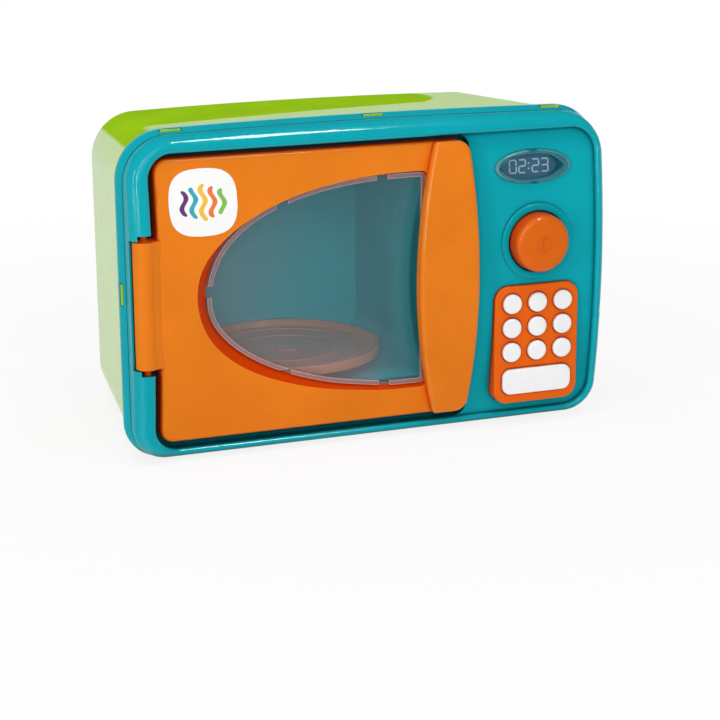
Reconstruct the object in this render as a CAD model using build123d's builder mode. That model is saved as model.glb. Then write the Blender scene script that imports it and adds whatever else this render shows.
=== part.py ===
"""Toy microwave oven: moulded housing, hinged door, turntable, click knob and sprung keypad.

Millimetres. +Z is up, the front faces -Y, and the origin is under the middle of the whole toy.
"reach" is how far something stands in front of the split between bezel and rear casing.
A negative reach lies behind the split, inside the casing.
"""
import math
import os

from build123d import *

# Housing outline, seen from the front
case_width = 300.0
case_height = 192.6
top_crown = 2.4
case_corner = 29.0
case_bottom_corner = 22.0
casing_depth = 124.0
wall = 2.5

# Bezel rim, groove and roll, from the split forwards
rim_depth = 3.0
rim_slope_depth = 5.0
rim_slope = 2.4
groove_depth = 1.2
groove_inset = 3.8
roll_inset = 2.4
roll_reach = 28.0
roll_radius = 7.0
roll_inner_radius = 2.2
bulge_radius = 484.0
roll_left = 11.6
roll_right = 6.1
roll_top = 11.0
roll_bottom = 5.1
opening_corner = 15.0
recess_corner = 8.0
panel_drop = 5.0
panel_slope = 3.0
door_floor_reach = 9.0

# Door
door_drop = 3.0
hinge_side_gap = 3.7
door_top_gap = 3.0
door_bottom_gap = 4.6
control_width = 83.0
door_side_gap = 2.0
door_corner = 8.0
door_edge_radius = 2.6
door_back_reach = 10.0

# Hinge
hinge_inset = 10.2
hinge_reach = 20.8
barrel_radius = 6.4
barrel_gap = 0.5
barrel_height = 74.0
barrel_lift = 1.15
barrel_end_gap = 0.8
pin_radius = 2.1
pin_clearance = 0.06
pin_length = 9.5
pin_root_radius = 3.9
pin_cone = 1.6
pin_notch = 3.0

# Window
window_root_inset = 34.5
window_right_inset = 26.0
window_inner_left = 29.5
window_inner_lift = -2.15
window_inner_top = 17.4
window_inner_bottom = 20.2
window_inner_fullness = (2.35, 1.9)
window_outer_left = 21.3
window_outer_lift = 6.05
window_outer_top = 15.4
window_outer_bottom = 15.9
window_outer_fullness = (2.0, 2.3)
window_ledge_reach = 16.0
window_corner = 4.0
ledge_width = 4.5
pane_thickness = 2.0
pane_lap = 3.0
pane_gap = 0.1
pane_rim_width = 2.6
pane_rim_height = 2.4
pane_notch = 7.0
pane_notch_shares = [(0.635, 0.809), (0.150, 0.971), (0.984, 0.100), (0.631, -0.775), (0.142, -0.980)]
frame_thickness = 2.4
frame_head_sink = 1.4
frame_screw_bite = 3.0
frame_post_radius = 3.0

# Sticker on the door
badge_inset = 27.7
badge_drop = 25.3
badge_width = 40.0
badge_height = 38.0
badge_thickness = 0.35

# Handle
handle_left_inset = 34.5
handle_left_bow = 13.0
handle_right_over = 3.5
handle_right_bow = 3.6
handle_reach = 33.0
handle_end_drop = 10.6
handle_edge_radius = 2.2
handle_left_corner = 3.0
handle_gap = 0.05

handle_seat_reach = 18.2
handle_screw_length = 9.0

# Door catch
catch_inset = 5.1
catch_thickness = 2.6
catch_lift = 2.65
catch_height = 12.0
catch_tip_reach = 3.5
catch_slot_inset = 3.8
catch_slot_width = 6.4
catch_slot_height = 16.0
catch_head_reach = 16.2

# Control panel
control_inset = 38.5
display_shift = -1.8
display_drop = 22.0
display_width = 49.8
display_height = 20.4
display_card_width = 37.0
display_card_height = 15.8
display_dish_depth = 5.0
lens_proud = 1.4
card_thickness = 0.8
knob_drop = 67.0
knob_radius = 18.0
knob_reach = 34.0
knob_edge_radius = 3.2
knob_back_gap = 0.4
knob_dish_gap = 1.0
knob_dish_depth = 2.4
knob_ring_radius = 23.2
knob_ring_proud = 1.2
keypad_width = 55.6
keypad_height = 73.8
keypad_lift = 43.9
keypad_reach = 25.0
keypad_corner = 9.0
keypad_wall = 2.2
keypad_back_reach = 9.4
keypad_lip = 4.0
keypad_gap = 0.3
keypad_edge_radius = 1.2

# Keys
key_radius = 6.0
key_gap = 0.35
key_proud = 2.2
key_column_pitch = 16.8
key_row_pitch = 15.1
key_middle_lift = 10.9
key_flange_radius = 7.1
key_flange_thickness = 1.4
key_edge_radius = 0.9
start_key_width = 45.4
start_key_height = 15.8
start_key_drop = 22.9
start_key_corner = 5.4
start_stem_spacing = 26.0
stem_radius = 2.4
stem_clearance = 0.3
stem_tail = 1.7
key_travel = 1.5
key_rest_gap = 0.3
retainer_thickness = 2.0
spring_radius = 3.7
spring_wire = 0.35
spring_turns = 5

# Oven cavity and turntable
cavity_left_inset = 19.3
cavity_right_inset = 9.5
cavity_bottom = 33.0
cavity_top_drop = 10.6
cavity_left_draft = 4.0
cavity_right_draft = 11.0
cavity_corner = 12.0
cavity_back_gap = 3.0
liner_wall = 2.2
turntable_shift = 1.0
turntable_back_gap = 68.5
turntable_depth_gap = 7.5
turntable_thickness = 2.4
turntable_underside = 5.6
turntable_rim = 6.2
turntable_rings = (46.0, 30.0)
hub_radius = 7.5
turntable_floor_gap = 0.3
spindle_radius = 4.0
spindle_clearance = 0.05
spindle_flange_radius = 8.0
track_radius = 40.0

# Click mechanism behind the knob
shaft_radius = 4.0
shaft_clearance = 0.05
ratchet_radius = 13.0
ratchet_thickness = 4.0
ratchet_teeth = 18
ratchet_notch = 1.6
ratchet_start = 0.0
shaft_flats = 5.0
washer_thickness = 1.0

# Rear casing
rear_side_inset = 15.2
rear_top_inset = 8.5
rear_bottom_inset = 4.4
casing_step = 2.6
lip_flare = 1.4
lip_length = 9.0
rear_corner = 28.0
rear_edge_radius = 5.0
tab_width = 12.0
tab_thickness = 1.7
tab_length = 8.0
tab_overlap = 6.0
tab_window_reach = 3.2
tab_window = 2.8
tab_nose_inset = 0.4
foot_radius = 8.0
foot_inset = 54.0
foot_front_behind = 20.0
foot_back_gap = 20.0
vent_count = 7
vent_length = 62.0
vent_width = 3.2
vent_pitch = 8.4
vent_depth = 1.0
vent_lift = 14.5

# Fasteners
screw_shank = 1.3
screw_head = 2.9
screw_head_height = 2.0
pilot_gap = 0.02
casing_screw_bite = 9.0
keypad_screw_bite = 4.6
post_radius = 4.4
tower_radius = 5.2
tower_gap = 0.3
tower_behind = 18.0
tower_seat = 3.0
clear = 0.3

# Places that follow from the sizes above
split_y = (knob_reach - casing_depth) / 2
middle_z = (case_height + top_crown) / 2
opening_left = roll_inset + roll_left - case_width / 2
opening_right = case_width / 2 - roll_inset - roll_right
opening_bottom = roll_inset + roll_bottom
opening_top = case_height - roll_inset - roll_top + top_crown
door_left = opening_left + hinge_side_gap
door_right = opening_right - control_width
door_bottom = opening_bottom + door_bottom_gap
door_top = opening_top - door_top_gap
corner_ease = case_corner - case_bottom_corner
door_reach = roll_reach - door_drop
panel_reach = roll_reach - panel_drop
divider_left = door_right + door_side_gap
roll_start = rim_depth + rim_slope_depth + groove_depth
floor_back_reach = door_floor_reach - wall
far = case_width
door_middle = (door_top + door_bottom) / 2
hinge_x = hinge_inset - case_width / 2
barrel_middle = door_middle + barrel_lift
window_root_x = door_right - window_root_inset
window_right_x = door_right - window_right_inset
window_inner_nose = window_root_x - door_left - window_inner_left
window_inner_middle = door_middle + window_inner_lift
window_inner_up = door_top - window_inner_top - window_inner_middle
window_inner_down = window_inner_middle - door_bottom - window_inner_bottom
window_outer_nose = window_root_x - door_left - window_outer_left
window_outer_middle = door_middle + window_outer_lift
window_outer_up = door_top - window_outer_top - window_outer_middle
window_outer_down = window_outer_middle - door_bottom - window_outer_bottom
pane_notch_places = [
    (
        window_root_x - across * window_inner_nose,
        window_inner_middle + share * (window_inner_up if share > 0 else window_inner_down),
    )
    for across, share in pane_notch_shares
]
badge_x = door_left + badge_inset
badge_z = door_top - badge_drop
handle_left_middle = door_right - handle_left_inset
handle_right_middle = door_right + handle_right_over
catch_x = door_right - catch_inset
catch_slot_x = door_right - catch_slot_inset
catch_z = door_middle + catch_lift
control_x = opening_right - control_inset
display_x = control_x + display_shift
display_z = opening_top - display_drop
knob_z = opening_top - knob_drop
keypad_z = opening_bottom + keypad_lift
key_middle_z = keypad_z + key_middle_lift
start_key_z = keypad_z - start_key_drop
cavity_left = door_left + cavity_left_inset
cavity_right = door_right - cavity_right_inset
cavity_top = door_top - cavity_top_drop
cavity_rear_left = cavity_left + cavity_left_draft
cavity_rear_right = cavity_right - cavity_right_draft
turntable_x = (cavity_left + cavity_right) / 2 + turntable_shift
turntable_behind = casing_depth - turntable_back_gap
turntable_radius = (casing_depth - turntable_depth_gap) / 2
foot_side = case_width / 2 - foot_inset
foot_back_behind = casing_depth - foot_back_gap
vent_z = middle_z + vent_lift


def front_plane(reach):
    """Plane facing forwards, with x to the right and y up."""
    return Plane(origin=(0, split_y - reach, 0), x_dir=(1, 0, 0), z_dir=(0, -1, 0))


def back_plane(reach):
    """Plane facing backwards, with x to the left and y up."""
    return Plane(origin=(0, split_y - reach, 0), x_dir=(-1, 0, 0), z_dir=(0, 1, 0))


def bulge(reach, height):
    """Reach of a crowned front face at a height, where reach is its greatest value."""
    return reach - (height - middle_z) ** 2 / (2 * bulge_radius)


def case_outline(side_inset, bottom, top, corner):
    """Rounded outline of the case with a gently crowned top."""
    half = case_width / 2 - side_inset
    with BuildSketch() as face:
        with BuildLine():
            Polyline((-half, top), (-half, bottom), (half, bottom), (half, top))
            ThreePointArc((half, top), (0, top + top_crown), (-half, top))
        make_face()
        half_way = (bottom + top) / 2
        fillet(face.vertices().filter_by(lambda vertex: vertex.Y < half_way), corner - corner_ease)
        fillet(face.vertices().filter_by(lambda vertex: vertex.Y > half_way), corner)
    return face.sketch


def inset_outline(inset):
    """Case outline moved inwards all round."""
    return case_outline(inset, inset, case_height - inset, case_corner - inset)


def rounded_box(left, right, bottom, top, corner):
    """Rounded rectangle by its sides."""
    with BuildSketch() as face:
        with Locations(((left + right) / 2, (bottom + top) / 2)):
            RectangleRounded(right - left, top - bottom, corner)
    return face.sketch


def behind_front(reach, radius, back_reach):
    """Block behind a front face that is crowned in side view."""
    half = case_height / 2 + 20
    drop = radius - math.sqrt(radius**2 - half**2)
    low = (split_y - reach + drop, middle_z - half)
    high = (split_y - reach + drop, middle_z + half)
    with BuildPart() as block:
        with BuildSketch(Plane.YZ):
            with BuildLine():
                ThreePointArc(low, (split_y - reach, middle_z), high)
                Polyline(high, (split_y - back_reach, high[1]), (split_y - back_reach, low[1]), low)
            make_face()
        extrude(amount=case_width, both=True)
    return block.part


def handle_left(height):
    """Place of the handle's left edge at a height."""
    share = (height - (door_top + door_bottom) / 2) / ((door_top - door_bottom) / 2)
    return handle_left_middle + handle_left_bow * share**2


def window_outline(nose, middle, up, down, fullness, grow=0.0):
    """D-shaped window outline: a full oval on the left and an upright side under the handle."""
    steps = 8
    full_up, full_down = fullness
    nose, up, down = nose + grow, up + grow, down + grow
    points = []
    for step in range(steps + 1):
        angle = math.pi / 2 * step / steps
        across = nose * math.sin(angle) ** (2 / full_up)
        above = up * math.cos(angle) ** (2 / full_up)
        points.append((window_root_x - across, middle + above))
    for step in range(1, steps + 1):
        angle = math.pi / 2 * step / steps
        across = nose * math.cos(angle) ** (2 / full_down)
        below = down * math.sin(angle) ** (2 / full_down)
        points.append((window_root_x - across, middle - below))
    side = window_right_x + grow
    with BuildSketch() as face:
        with BuildLine():
            Spline(*points, tangents=((-1, 0), (1, 0)))
            Polyline(points[-1], (side, middle - down), (side, middle + up), points[0])
        make_face()
        right = face.vertices().filter_by(lambda vertex: vertex.X > window_root_x + 1)
        fillet(right, max(window_corner + grow, 1.0))
    return face.sketch


def inner_window(grow=0.0):
    """Edge of the opening at the pane."""
    return window_outline(
        window_inner_nose,
        window_inner_middle,
        window_inner_up,
        window_inner_down,
        window_inner_fullness,
        grow,
    )


def outer_window(grow=0.0):
    """Edge of the opening at the front of the door."""
    return window_outline(
        window_outer_nose,
        window_outer_middle,
        window_outer_up,
        window_outer_down,
        window_outer_fullness,
        grow,
    )


def screw(length):
    """Pan head screw with a cross slot, its head upwards and its seat at zero."""
    slot = 0.7
    with BuildPart() as body:
        Cylinder(screw_head, screw_head_height, align=(Align.CENTER, Align.CENTER, Align.MIN))
        fillet(body.edges().group_by(Axis.Z)[-1], screw_head_height / 3)
        Cylinder(screw_shank, length, align=(Align.CENTER, Align.CENTER, Align.MAX))
        chamfer(body.edges().group_by(Axis.Z)[0], screw_shank / 2)
        with Locations((0, 0, screw_head_height)):
            Box(screw_head * 1.2, slot, slot * 2, mode=Mode.SUBTRACT)
            Box(slot, screw_head * 1.2, slot * 2, mode=Mode.SUBTRACT)
    return body.part


# Shared outlines and blocks
front_opening = rounded_box(opening_left, opening_right, opening_bottom, opening_top, opening_corner)
roll_block = behind_front(roll_reach, bulge_radius, 0)
panel_block = behind_front(panel_reach, bulge_radius, 0)
panel_back_block = behind_front(panel_reach - wall, bulge_radius - wall, -1)
door_block = behind_front(door_reach, bulge_radius, 0)
door_skin_block = behind_front(door_reach - wall, bulge_radius - wall, -1)

# Screw places, x and z
casing_screw_places = [
    (28.0 - case_width / 2, 22.0),
    (28.0 - case_width / 2, case_height - 22.6),
    (divider_left - 6.5, 18.0),
    (divider_left - 6.5, case_height - 16.1),
    (case_width / 2 - 26.0, middle_z + 0.1),
]
ear_reach = 1.8
ear_places = [(x, z) for x in (cavity_left - 7.5, cavity_right + 7.5) for z in (cavity_bottom + 33.0, cavity_top - 32.0)]
catch_screw_place = (cavity_right + 7.5, catch_z + 21.0)
keypad_ear = keypad_width / 2 + keypad_gap + post_radius + 0.2
keypad_screw_places = [
    (control_x + side * keypad_ear, keypad_z + end * 27.9) for side in (-1, 1) for end in (-1, 1)
]
click_screw_place = (control_x - 20.5, knob_z - 17.0)
frame_screw_places = [
    (door_left + 10.3, door_bottom + 17.9),
    (door_left + 10.3, door_top - 16.6),
    (door_left + 52.3, door_bottom + 11.9),
    (door_left + 66.3, door_top - 7.6),
    (door_right - 46.5, door_bottom + 7.3),
    (door_right - 46.5, door_top - 7.6),
]
handle_screw_places = [(door_right - 12.5, door_bottom + 37.9), (door_right - 12.5, door_top - 36.6)]
display_screw_offset = 30.0

# Snap tabs: x and z on the split, and the way out of the case
tab_side = case_width / 2 - 32.0
tab_places = [(x, z, 0, way) for x in (-tab_side, 4.0, tab_side) for z, way in ((0, -1), (case_height, 1))]
tab_places += [(way * case_width / 2, middle_z + 2.3, way, 0) for way in (-1, 1)]

os.makedirs("parts", exist_ok=True)


def save(piece, name):
    """Label a finished piece and write it."""
    piece.part.label = name
    export_step(piece.part, f"parts/{name}.step")


def case_top(x):
    """Height of the crowned top at a place across the case."""
    return case_height + top_crown * (1 - (2 * x / case_width) ** 2)


def tab_block(x, z, side, upright, outer_inset, inner_inset, width, reach, length):
    """Block for a snap tab or its window, between two insets from the case outline."""
    depth = inner_inset - outer_inset
    middle = (inner_inset + outer_inset) / 2
    if side:
        place = (x - side * middle, split_y - reach - length / 2, z)
        with BuildPart() as block:
            with Locations(place):
                Box(depth, length, width)
        return block.part
    edge = case_top(x) if upright > 0 else 0
    place = (x, split_y - reach - length / 2, edge - upright * middle)
    with BuildPart() as block:
        with Locations(place):
            Box(width, length, depth)
    return block.part


# Front bezel: rim, sloped shoulder, groove and round roll, with the door recess and control panel
with BuildPart() as opening_cut:
    with BuildSketch(front_plane(0)):
        add(front_opening)
    extrude(amount=roll_reach + wall)
    add(panel_block, mode=Mode.SUBTRACT)

with BuildPart() as front_roll:
    with BuildSketch(front_plane(roll_start)):
        add(inset_outline(roll_inset))
    extrude(amount=roll_reach)
    add(roll_block, mode=Mode.INTERSECT)
    crest = front_roll.faces().sort_by(Axis.Y)[0]
    fillet(crest.outer_wire().edges(), roll_radius)
    add(opening_cut.part, mode=Mode.SUBTRACT)
    mouth = front_opening.faces()[0].outer_wire()
    crest_rim = []
    for edge in front_roll.edges():
        spot = edge.position_at(0.5)
        on_mouth = mouth.distance_to(Vertex(spot.X, spot.Z, 0)) < 0.01
        if on_mouth and split_y - spot.Y > bulge(panel_reach, spot.Z) + 2.6:
            crest_rim.append(edge)
    fillet(crest_rim, roll_inner_radius)

with BuildPart() as hollow:
    with BuildSketch(front_plane(-1)):
        add(inset_outline(wall + roll_inset + 0.4))
        with Locations((divider_left + wall - far / 2, middle_z)):
            Rectangle(far, far, mode=Mode.SUBTRACT)
    extrude(amount=roll_reach)
    add(panel_back_block, mode=Mode.INTERSECT)

panel_tilt = math.asin((display_z - middle_z) / bulge_radius)
display_plane = Plane(
    origin=(display_x, split_y - bulge(panel_reach, display_z), display_z),
    x_dir=(1, 0, 0),
    z_dir=(0, -math.cos(panel_tilt), math.sin(panel_tilt)),
)
cup_depth = display_dish_depth + 1.5
knob_face_reach = bulge(panel_reach, knob_z) + knob_ring_proud
knob_floor_reach = knob_face_reach - knob_dish_depth
bearing_back_reach = knob_floor_reach - 7.5
flange_reach = keypad_back_reach + 2.0
click_boss_reach = bearing_back_reach - clear

with BuildPart() as front_bezel:
    with BuildSketch(front_plane(0)):
        add(inset_outline(0))
    extrude(amount=rim_depth)
    with BuildSketch(front_plane(rim_depth)):
        add(inset_outline(0))
    with BuildSketch(front_plane(rim_depth + rim_slope_depth)):
        add(inset_outline(rim_slope))
    loft(ruled=True)
    with BuildSketch(front_plane(rim_depth)):
        add(inset_outline(groove_inset))
    extrude(amount=roll_start)
    add(front_roll.part)
    add(opening_cut.part, mode=Mode.SUBTRACT)
    # Door recess down to its floor
    with BuildSketch(front_plane(door_floor_reach)) as recess:
        add(front_opening)
        with Locations((divider_left + far / 2, middle_z)):
            Rectangle(far, far, mode=Mode.SUBTRACT)
        recess_ends = recess.sketch_local.vertices().filter_by(lambda vertex: vertex.X > divider_left - 0.1)
        fillet(recess_ends, recess_corner)
    extrude(amount=roll_reach, mode=Mode.SUBTRACT)
    # Hollow behind the recess floor and behind the control panel
    with BuildSketch(front_plane(-1)):
        add(inset_outline(wall + roll_inset + 0.4))
    extrude(amount=floor_back_reach + 1, mode=Mode.SUBTRACT)
    add(hollow.part, mode=Mode.SUBTRACT)
    # Pocket behind the thick roll round the door
    with BuildSketch(front_plane(0)):
        add(inset_outline(wall + roll_inset + 0.4))
        with Locations((far / 2 + divider_left, middle_z)):
            Rectangle(far, far, mode=Mode.SUBTRACT)
        add(
            rounded_box(
                opening_left - wall,
                far,
                opening_bottom - wall,
                opening_top + wall,
                opening_corner,
            ),
            mode=Mode.SUBTRACT,
        )
    extrude(amount=door_floor_reach + wall, mode=Mode.SUBTRACT)
    # Screw bosses
    for x, z in casing_screw_places:
        end = floor_back_reach if x < divider_left else bulge(panel_reach - wall, z)
        with BuildSketch(front_plane(-tower_behind)):
            with Locations((x, z)):
                Circle(post_radius)
        extrude(amount=tower_behind + end + 1)
    for x, z in ear_places + [catch_screw_place]:
        with BuildSketch(front_plane(ear_reach)):
            with Locations((x, z)):
                Circle(post_radius)
        extrude(amount=floor_back_reach + 1 - ear_reach)
    for x, z in keypad_screw_places + [click_screw_place]:
        start = click_boss_reach if (x, z) == click_screw_place else flange_reach
        with BuildSketch(front_plane(start)):
            with Locations((x, z)):
                Circle(post_radius)
        extrude(amount=bulge(panel_reach - wall, z) + 1 - start)
    with BuildSketch(display_plane.offset(-cup_depth - 1)):
        with Locations((-display_screw_offset, 0), (display_screw_offset, 0)):
            Circle(post_radius)
    extrude(amount=cup_depth + 1 - wall / 2)
    # Raised ring, dish and bearing for the knob
    with BuildSketch(front_plane(bearing_back_reach)):
        with Locations((control_x, knob_z)):
            Circle(shaft_radius + shaft_clearance + wall)
    extrude(amount=knob_floor_reach - bearing_back_reach)
    with BuildSketch(front_plane(knob_floor_reach - wall)):
        with Locations((control_x, knob_z)):
            Circle(knob_ring_radius)
    extrude(amount=knob_dish_depth + wall)
    ring_face = front_bezel.faces().sort_by_distance((control_x, split_y - knob_face_reach, knob_z))[0]
    fillet(ring_face.outer_wire().edges(), knob_ring_proud / 2)
    with BuildSketch(front_plane(knob_face_reach)):
        with Locations((control_x, knob_z)):
            Circle(knob_radius + knob_dish_gap)
    extrude(amount=-knob_dish_depth, mode=Mode.SUBTRACT)
    with BuildSketch(front_plane(knob_face_reach)):
        with Locations((control_x, knob_z)):
            Circle(shaft_radius + shaft_clearance)
    extrude(amount=-far / 4, mode=Mode.SUBTRACT)
    # Keypad opening
    with BuildSketch(front_plane(0)):
        with Locations((control_x, keypad_z)):
            RectangleRounded(
                keypad_width + 2 * keypad_gap,
                keypad_height + 2 * keypad_gap,
                keypad_corner + keypad_gap,
            )
    extrude(amount=roll_reach, mode=Mode.SUBTRACT)
    # Display dish, open at its floor
    with BuildSketch(display_plane.offset(-cup_depth)):
        Ellipse(display_width / 2 + 1.5, display_height / 2 + 1.5)
    extrude(amount=cup_depth - 0.5)
    with BuildSketch(display_plane.offset(2 * lens_proud)):
        Ellipse(display_width / 2 + clear / 2, display_height / 2 + clear / 2)
    extrude(amount=-2 * lens_proud - 1.2, mode=Mode.SUBTRACT)
    with BuildSketch(display_plane.offset(-1.2)):
        Ellipse(display_width / 2 - 1.2, display_height / 2 - 1.2)
    with BuildSketch(display_plane.offset(-display_dish_depth)):
        Ellipse(display_card_width / 2, display_card_height / 2)
    loft(mode=Mode.SUBTRACT)
    with BuildSketch(display_plane.offset(-display_dish_depth + 0.1)):
        Ellipse(display_card_width / 2, display_card_height / 2)
    extrude(amount=-far / 4, mode=Mode.SUBTRACT)
    # Mouth of the oven
    with BuildSketch(front_plane(0)):
        add(
            rounded_box(
                cavity_left + 1,
                cavity_right - 1,
                cavity_bottom + 0.5,
                cavity_top - 1,
                cavity_corner,
            )
        )
    extrude(amount=roll_reach, mode=Mode.SUBTRACT)
    # Hinge: room for the barrel, its web and the pin roots, and two pin bores
    with Locations((hinge_x, split_y - hinge_reach, barrel_middle)):
        Cylinder(barrel_radius + barrel_gap, barrel_height + 2 * barrel_end_gap, mode=Mode.SUBTRACT)
        Cylinder(
            pin_radius + pin_clearance,
            barrel_height + 2 * pin_length + 2 * barrel_end_gap,
            mode=Mode.SUBTRACT,
        )
    with BuildSketch(front_plane(hinge_reach - 2)):
        with Locations(((-case_width / 2 + opening_left + 3) / 2, barrel_middle)):
            Rectangle(opening_left + 3 + case_width / 2, barrel_height + 2 * barrel_end_gap)
    extrude(amount=far, mode=Mode.SUBTRACT)
    with BuildSketch(front_plane(hinge_reach - barrel_radius - barrel_gap)):
        with Locations(((hinge_x + opening_left + 3) / 2, barrel_middle)):
            Rectangle(opening_left + 3 - hinge_x, barrel_height + 2 * barrel_end_gap)
    extrude(amount=far, mode=Mode.SUBTRACT)
    with BuildSketch(front_plane(hinge_reach - pin_root_radius - barrel_gap)):
        with Locations((hinge_x, barrel_middle)):
            Rectangle(
                2 * (pin_root_radius + barrel_gap),
                barrel_height + 2 * (barrel_end_gap + pin_notch),
            )
    extrude(amount=far, mode=Mode.SUBTRACT)
    # Slot for the door catch
    with BuildSketch(front_plane(0)):
        with Locations((catch_slot_x, catch_z)):
            Rectangle(catch_slot_width, catch_slot_height)
    extrude(amount=roll_reach, mode=Mode.SUBTRACT)
    # Windows for the snap tabs of the casing
    for x, z, side, upright in tab_places:
        add(
            tab_block(x, z, side, upright, -1, 6, tab_width + 1, tab_window_reach, tab_window),
            mode=Mode.SUBTRACT,
        )
    # Pilot holes
    for x, z in casing_screw_places:
        with BuildSketch(front_plane(-tower_behind)):
            with Locations((x, z)):
                Circle(screw_shank + pilot_gap)
        extrude(amount=casing_screw_bite + 1, mode=Mode.SUBTRACT)
    for x, z in ear_places + [catch_screw_place]:
        with BuildSketch(front_plane(ear_reach)):
            with Locations((x, z)):
                Circle(screw_shank + pilot_gap)
        extrude(amount=door_floor_reach - 1 - ear_reach, mode=Mode.SUBTRACT)
    for x, z in keypad_screw_places:
        with BuildSketch(front_plane(flange_reach)):
            with Locations((x, z)):
                Circle(screw_shank + pilot_gap)
        extrude(amount=keypad_screw_bite + 0.3, mode=Mode.SUBTRACT)
    with BuildSketch(front_plane(click_boss_reach)):
        with Locations(click_screw_place):
            Circle(screw_shank + pilot_gap)
    extrude(amount=5.5, mode=Mode.SUBTRACT)
    with BuildSketch(display_plane.offset(-cup_depth - 1)):
        with Locations((-display_screw_offset, 0), (display_screw_offset, 0)):
            Circle(screw_shank + pilot_gap)
    extrude(amount=5.5, mode=Mode.SUBTRACT)
save(front_bezel, "front_bezel")

# Rear casing: tapered shell with screw towers, snap tabs and feet
with BuildPart() as rear_casing:
    with BuildSketch(front_plane(0)):
        add(inset_outline(casing_step))
    with BuildSketch(front_plane(-casing_depth)):
        add(
            case_outline(
                rear_side_inset,
                rear_bottom_inset,
                case_height - rear_top_inset,
                rear_corner,
            )
        )
    loft(ruled=True)
    back_face = rear_casing.faces().sort_by(Axis.Y)[-1]
    fillet(back_face.edges(), rear_edge_radius)
    # Flared lip that meets the bezel
    share = lip_length / casing_depth
    with BuildSketch(front_plane(0)):
        add(inset_outline(casing_step - lip_flare))
    with BuildSketch(front_plane(-lip_length)):
        add(
            case_outline(
                casing_step + share * (rear_side_inset - casing_step),
                casing_step + share * (rear_bottom_inset - casing_step),
                case_height - casing_step - share * (rear_top_inset - casing_step),
                case_corner - casing_step,
            )
        )
    loft(ruled=True)
    with BuildSketch(front_plane(0)):
        add(inset_outline(casing_step + wall))
    with BuildSketch(front_plane(wall - casing_depth)):
        add(
            case_outline(
                rear_side_inset + wall,
                rear_bottom_inset + wall,
                case_height - rear_top_inset - wall,
                rear_corner - wall,
            )
        )
    loft(ruled=True, mode=Mode.SUBTRACT)
    # Screw towers
    for x, z in casing_screw_places:
        with BuildSketch(front_plane(-tower_behind - tower_gap)):
            with Locations((x, z)):
                Circle(tower_radius)
        extrude(amount=-(casing_depth - tower_behind - tower_gap - wall / 2))
    for x, z in casing_screw_places:
        with BuildSketch(front_plane(-tower_behind - tower_gap - tower_seat)):
            with Locations((x, z)):
                Circle(screw_head + clear)
        extrude(amount=-casing_depth, mode=Mode.SUBTRACT)
        with BuildSketch(front_plane(-tower_behind)):
            with Locations((x, z)):
                Circle(screw_shank + clear)
        extrude(amount=-casing_depth, mode=Mode.SUBTRACT)
    # Snap tabs with their noses
    for x, z, side, upright in tab_places:
        add(tab_block(x, z, side, upright, 3.0, 7.4, tab_width, -tab_length, tab_length - 2))
        add(tab_block(x, z, side, upright, 5.8, 7.4, tab_width, -tab_length, tab_length + tab_overlap))
        nose = tab_window - 0.6
        add(
            tab_block(
                x,
                z,
                side,
                upright,
                tab_nose_inset,
                5.9,
                tab_width,
                tab_window_reach + 0.3,
                nose,
            )
        )
    # Feet
    for behind, inside in ((foot_front_behind, 3.0), (foot_back_behind, 5.0)):
        with Locations(
            (-foot_side, split_y + behind, 0),
            (foot_side, split_y + behind, 0),
        ):
            Cylinder(foot_radius, inside, align=(Align.CENTER, Align.CENTER, Align.MIN))
    # Moulded grooves on the back
    with BuildSketch(back_plane(-casing_depth)):
        with Locations((0, vent_z)):
            with GridLocations(0, vent_pitch, 1, vent_count):
                SlotOverall(vent_length, vent_width)
    extrude(amount=-vent_depth, mode=Mode.SUBTRACT)
save(rear_casing, "rear_casing")

# Cavity liner: open box with four ears and the ring that the turntable slides on
liner_front_reach = floor_back_reach - 0.1
liner_behind = casing_depth - wall - cavity_back_gap - liner_wall
with BuildPart() as cavity_liner:
    with BuildSketch(front_plane(liner_front_reach)):
        add(
            rounded_box(
                cavity_left - liner_wall,
                cavity_right + liner_wall,
                cavity_bottom - liner_wall,
                cavity_top + liner_wall,
                cavity_corner + liner_wall,
            )
        )
    with BuildSketch(front_plane(-liner_behind - liner_wall)):
        add(
            rounded_box(
                cavity_rear_left - liner_wall,
                cavity_rear_right + liner_wall,
                cavity_bottom - liner_wall,
                cavity_top + liner_wall,
                cavity_corner + liner_wall,
            )
        )
    loft(ruled=True)
    for x, z in ear_places:
        inward = 1 if x < turntable_x else -1
        with BuildSketch(front_plane(ear_reach)):
            with Locations((x, z)):
                Circle(post_radius)
            with Locations((x + inward * 3.4, z)):
                Rectangle(6.8, 2 * post_radius)
        extrude(amount=-liner_wall)
    with BuildSketch(front_plane(liner_front_reach)):
        add(rounded_box(cavity_left, cavity_right, cavity_bottom, cavity_top, cavity_corner))
    with BuildSketch(front_plane(-liner_behind)):
        add(
            rounded_box(
                cavity_rear_left,
                cavity_rear_right,
                cavity_bottom,
                cavity_top,
                cavity_corner,
            )
        )
    loft(ruled=True, mode=Mode.SUBTRACT)
    with BuildSketch(Plane.XY.offset(cavity_bottom - liner_wall / 2)):
        with Locations((turntable_x, split_y + turntable_behind)):
            Circle(track_radius + 1.2)
            Circle(track_radius - 1.2, mode=Mode.SUBTRACT)
    extrude(amount=liner_wall / 2 + turntable_underside - turntable_floor_gap)
    with Locations((turntable_x, split_y + turntable_behind, cavity_bottom)):
        Cylinder(spindle_radius, 4 * liner_wall, mode=Mode.SUBTRACT)
    for x, z in ear_places:
        with BuildSketch(front_plane(ear_reach)):
            with Locations((x, z)):
                Circle(screw_shank + clear)
        extrude(amount=-liner_wall, mode=Mode.SUBTRACT)
save(cavity_liner, "cavity_liner")

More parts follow.
